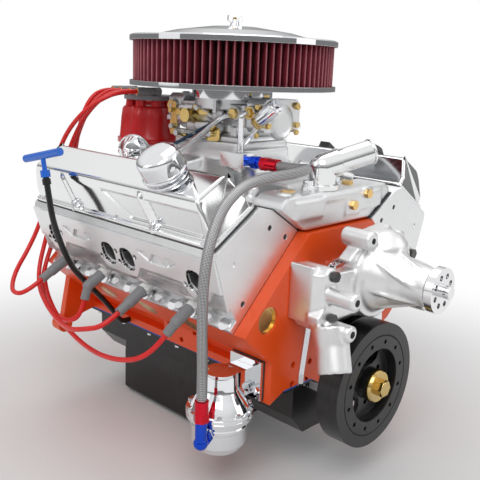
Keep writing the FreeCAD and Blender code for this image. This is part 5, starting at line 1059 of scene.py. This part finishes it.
NECK_START, NECK_REACH = (-15.0, -490.5, 332.0), (0.85, -0.45, 0.28)
BEAD_ALONG, BEAD_SEAT, BEAD_RADIUS = 84.8, 18.9, 1.9


def hose_bead():
    """The rolled bead near the mouth of the hose neck: a half round that stands out of the tube."""
    turn = np.linspace(0, math.pi, 9)
    profile = [(BEAD_ALONG - BEAD_RADIUS * math.cos(t), BEAD_SEAT + BEAD_RADIUS * math.sin(t)) for t in turn]
    profile += [(86.7, 18), (82.9, 18)]
    piece("hose_bead", turned(NECK_START, unit(NECK_REACH), profile, 56, True), "cover")


hose_bead()


# --- distributor ---

CAP_CENTRE = (-27.0, station(446))
# The wall of the cap from its rim to its top: height, radius and how much of the draw it takes.
CAP_WALL = [(331.9, 57, 0), (332, 62.5, 0), (340, 62.5, 0), (341, 60, 0.3), (352, 59, 1), (380, 56.5, 1),
            (396, 54, 1), (400, 50, 0.8), (401.5, 42, 0.2), (402, 8, 0)]
CAP_DRAW = 6.5
TOWERS, TOWER_RADIUS = 8, 38


def distributor_cap_skin():
    """A moulded cap: its wall swells under each of the eight towers and draws in between them."""
    turn = np.arange(192) * math.tau / 192
    swell = 0.5 + 0.5 * np.cos(TOWERS * (turn - math.pi / TOWERS))
    rows = [level_ring(CAP_CENTRE, radius - CAP_DRAW * depth * (1 - swell), turn, z)
            for z, radius, depth in CAP_WALL]
    forms = [closed_rows(np.array(rows))]
    for seat in seats_round(CAP_CENTRE, TOWER_RADIUS, TOWERS, 180 / TOWERS, 396):
        forms.append(turned(seat, UPWARD, [(0, 11), (9, 9.6), (13, 9.2), (16, 9), (16, 5)], 28))
    forms.append(turned((*CAP_CENTRE, 400), UPWARD, [(0, 14), (8, 12), (9.5, 10.5)], 32))
    piece("distributor_cap_skin", together(*forms), "red_plastic", replaces=("distributor_cap",), crease=40)
    rings = [bar(points[0], np.add(points[0], (4.5, 0, 0)), 6.2) for _, points in PLUG_WIRES.values()]
    piece("wire_end_rings", together(*rings), "brass")


distributor_cap_skin()


def vacuum_can():
    """A pressed can: a crimped rim between a flat back and a stepped, domed front with its nipple."""
    reach = unit((-0.86, -0.51, 0))
    seat = np.array([*CAP_CENTRE, 322.0])
    profile = [(71, 8), (72, 20), (76, 27), (80, 28.5), (81, 30.5), (84, 31), (86.5, 30.5), (87, 28.5),
               (89, 27), (92, 21), (94.5, 18.5), (95.5, 15), (96.5, 8), (97, 4.6), (104, 4.4), (104.5, 3)]
    form = together(bar(seat + reach * 56, seat + reach * 74, 7), turned(seat, reach, profile, 56))
    piece("vacuum_can", form, "chrome", replaces=("vacuum_advance",), crease=30)


vacuum_can()


# --- carburettor ---

def carburettor_castings():
    """Bosses, ledges and towers on the body; rounded lids and ledges on both bowls."""
    y = CARBURETTOR_Y
    body = [box((-56, y - 50, 372), (-44, y + 36, 384)), box((44, y - 60, 372), (56, y + 60, 384)),
            bar((-44, y + 66, 398), (-60, y + 66, 398), 13), bar((-44, y - 62, 404), (-57, y - 62, 404), 12),
            bar((-44, y + 20, 408), (-55, y + 20, 408), 9), box((-58, y + 40, 384), (-44, y + 62, 412)),
            box((-54, y - 30, 392), (-46, y + 6, 418)), bar((40, y - 30, 404), (57, y - 30, 404), 13)]
    cast_again("carburettor_casting", "carburettor_body", together(*body), 1.5, 4, "cast")
    bowls = []
    for end in (-1, 1):
        face = y + end * 117
        ledge = sorted((face, face - end * 10))
        bowls += [turned((0, face, 392), (0, end, 0), [(-6, 30), (0, 28), (3, 25), (5, 16)], 40),
                  bar((-44, y + end * 96, 407), (-58, y + end * 96, 407), 11),
                  box((-50, ledge[0], 380), (50, ledge[1], 390)),
                  bar((-20, y + end * 98, 424), (-20, y + end * 98, 432), 7)]
    cast_again("float_bowl_castings", "float_bowls", together(*bowls), 1.5, 4, "cast")


def spring(start, end, radius, wire, turns):
    """A coil spring: a thin wire carried along a helix between two points."""
    start, end = np.asarray(start, float), np.asarray(end, float)
    axis = unit(end - start)
    side, up = square_to(axis)
    share = np.linspace(0, 1, turns * 12)[:, None]
    angle = share * turns * math.tau
    coil = radius * (np.cos(angle) * side + np.sin(angle) * up)
    return carried(start + share * (end - start) + coil, wire, 6)


def carburettor_linkage():
    """Levers, springs, screws, the inlet filter and the thin pipes on the passenger's side."""
    y = CARBURETTOR_Y
    outward = (-1, 0, 0)
    lever = rounded([(-9, -26), (7, -30), (13, -16), (6, 4), (8, 26), (-5, 30), (-8, 6)], 3)
    fork = rounded([(-20, -6), (4, -8), (22, 2), (20, 10), (0, 4), (-16, 6)], 2.5)
    quadrant = rounded([(-18, -12), (10, -14), (18, 0), (12, 14), (-6, 18), (-20, 8)], 4)
    gold = [plate(outline, seat, REARWARD, UPWARD, thick) for outline, seat, thick in (
        (lever, (-62, y + 84, 386), 2.4), (fork, (-66, y + 66, 362), 2.4),
        (quadrant, (-66, y - 18, 368), 2.2), (fork, (-60, y + 14, 404), 2.0))]
    gold += [hexagon((-63, y + 66, 398), outward, 12, 5), bar((-58, y + 84, 400), (-72, y + 84, 400), 4.5)]
    gold += [hexagon(*head) for head in (
        ((-57, y - 62, 404), outward, 17, 7),
        ((-58, y - 96, 407), outward, 14, 6), ((-48, -379, 372), outward, 9, 6),
        ((-48, -381, 417), outward, 9, 6), ((32, -391, 420), FORWARD, 9, 5),
        ((34, -391, 375), FORWARD, 9, 5), ((-20, y - 98, 431), UPWARD, 9, 5))]
    gold.append(turned((-47, -378, 391), (-0.1, -0.78, 0.62), [(0, 14), (5, 14.5), (8, 14)], 6))
    piece("carburettor_gold_parts", together(*gold), "gold", bevel=0.4)
    steel = [spring((-68, y + 70, 366), (-68, y + 14, 366), 4.2, 0.8, 16),
             spring((-66, y - 8, 392), (-66, y - 44, 380), 3.6, 0.7, 12),
             bar((-50, y + 84, 372), (-70, y + 84, 372), 5), bar((-64, y + 66, 362), (-74, y + 66, 362), 5.5),
             bent_rod([(-70, y + 66, 358), (-70, y + 30, 354), (-70, y - 6, 362), (-70, y - 20, 374)], 1.6),
             bent_rod([(-62, y + 20, 410), (-64, y - 6, 402), (-63, y - 26, 388), (-64, y - 24, 374)], 1.5),
             bar((-66, y - 18, 368), (-74, y - 18, 368), 6), bar((-58, y + 20, 408), (-68, y + 20, 408), 4.5)]
    piece("carburettor_springs_and_rods", together(*steel), "steel")
    heat_pipe = [(-76, y + 72, 338), (-73, y + 58, 346), (-66, y + 8, 372), (-60, y - 52, 402),
                 (-54, y - 66, 408)]
    piece("carburettor_heat_pipe", bent_rod(heat_pipe, 3.2), "blued")
    foot, head = np.array((-47, -381, 395.0)), np.array((-43, -417, 424.0))
    reach = unit(head - foot)
    barrel = turned(foot, reach, [(0, 10), (2, 12.5), (4, 13), (38, 13), (40, 12.4), (42, 10)], 40)
    cap = turned(foot + reach * 41, reach, [(0, 9.5), (7, 9.5), (8, 8.5)], 6)
    rod_up = bent_rod([(-64, -338, 331), (-60, -352, 346), (-55, -374, 372), (-50, -380, 386)], 4.2, 16)
    piece("fuel_inlet_filter", together(barrel, cap, rod_up), "chrome", crease=40)


carburettor_castings()
carburettor_linkage()


# --- intake manifold ---

MANIFOLD_FRONT = -518.5


def manifold_casting():
    """Raised panels on the front wall, a boss on a ledge at its passenger's corner and two round ribs
    down each side."""
    y = MANIFOLD_FRONT
    forms = [box((-112, y - 3, 262), (-44, y + 6, 289)), box((54, y - 3, 262), (112, y + 6, 289)),
             box((13, y - 2.5, 256), (52, y + 6, 287)), box((-44, y - 2.5, 284), (54, y + 6, 292)),
             box((-96, y + 4, 296), (-118, y + 52, 301)), bar((-104, y + 22, 290), (-104, y + 22, 303), 17)]
    for side in SIDES:
        for inner, outer in ((-380, -450), (-136, -136)):
            forms.append(bar((side * 60, inner, 318), (side * 128, outer, 296), 9))
    cast_again("intake_manifold_casting", "intake_manifold", together(*forms), 2.8, 4, "cast")


manifold_casting()


# --- fuel pump ---

FUEL_PUMP_PLACE = (-215.0, station(46))
RIM_SCREWS, RIM_RADIUS = 10, 46


def fuel_pump_skin():
    """The pump's turned body: a pressed bowl, a clamped rim with its screws and a domed upper casting."""
    bowl = [(-75, 6), (-74.5, 30), (-72, 35), (-64, 40), (-60, 42), (-40, 42), (-38, 43.2), (-34, 43.2),
            (-32, 42), (-25, 42.5), (-24, 49), (-22.5, 50.3), (-18, 50.6), (-16.8, 49.5), (-16.4, 50.6),
            (-12, 50.3), (-10.4, 49), (-10, 45), (-4, 42), (6, 36), (16, 29), (22, 26.4), (40, 25.6),
            (44.5, 24), (46.4, 20), (46.5, 4)]
    piece("fuel_pump_drum", turned((*FUEL_PUMP_PLACE, 0), UPWARD, bowl, 72), "chrome", crease=28)
    seats = seats_round(FUEL_PUMP_PLACE, RIM_RADIUS, RIM_SCREWS, 10, -10.4)
    piece("fuel_pump_screws", together(*(hexagon(seat, UPWARD, 7, 4) for seat in seats)), "steel")


fuel_pump_skin()
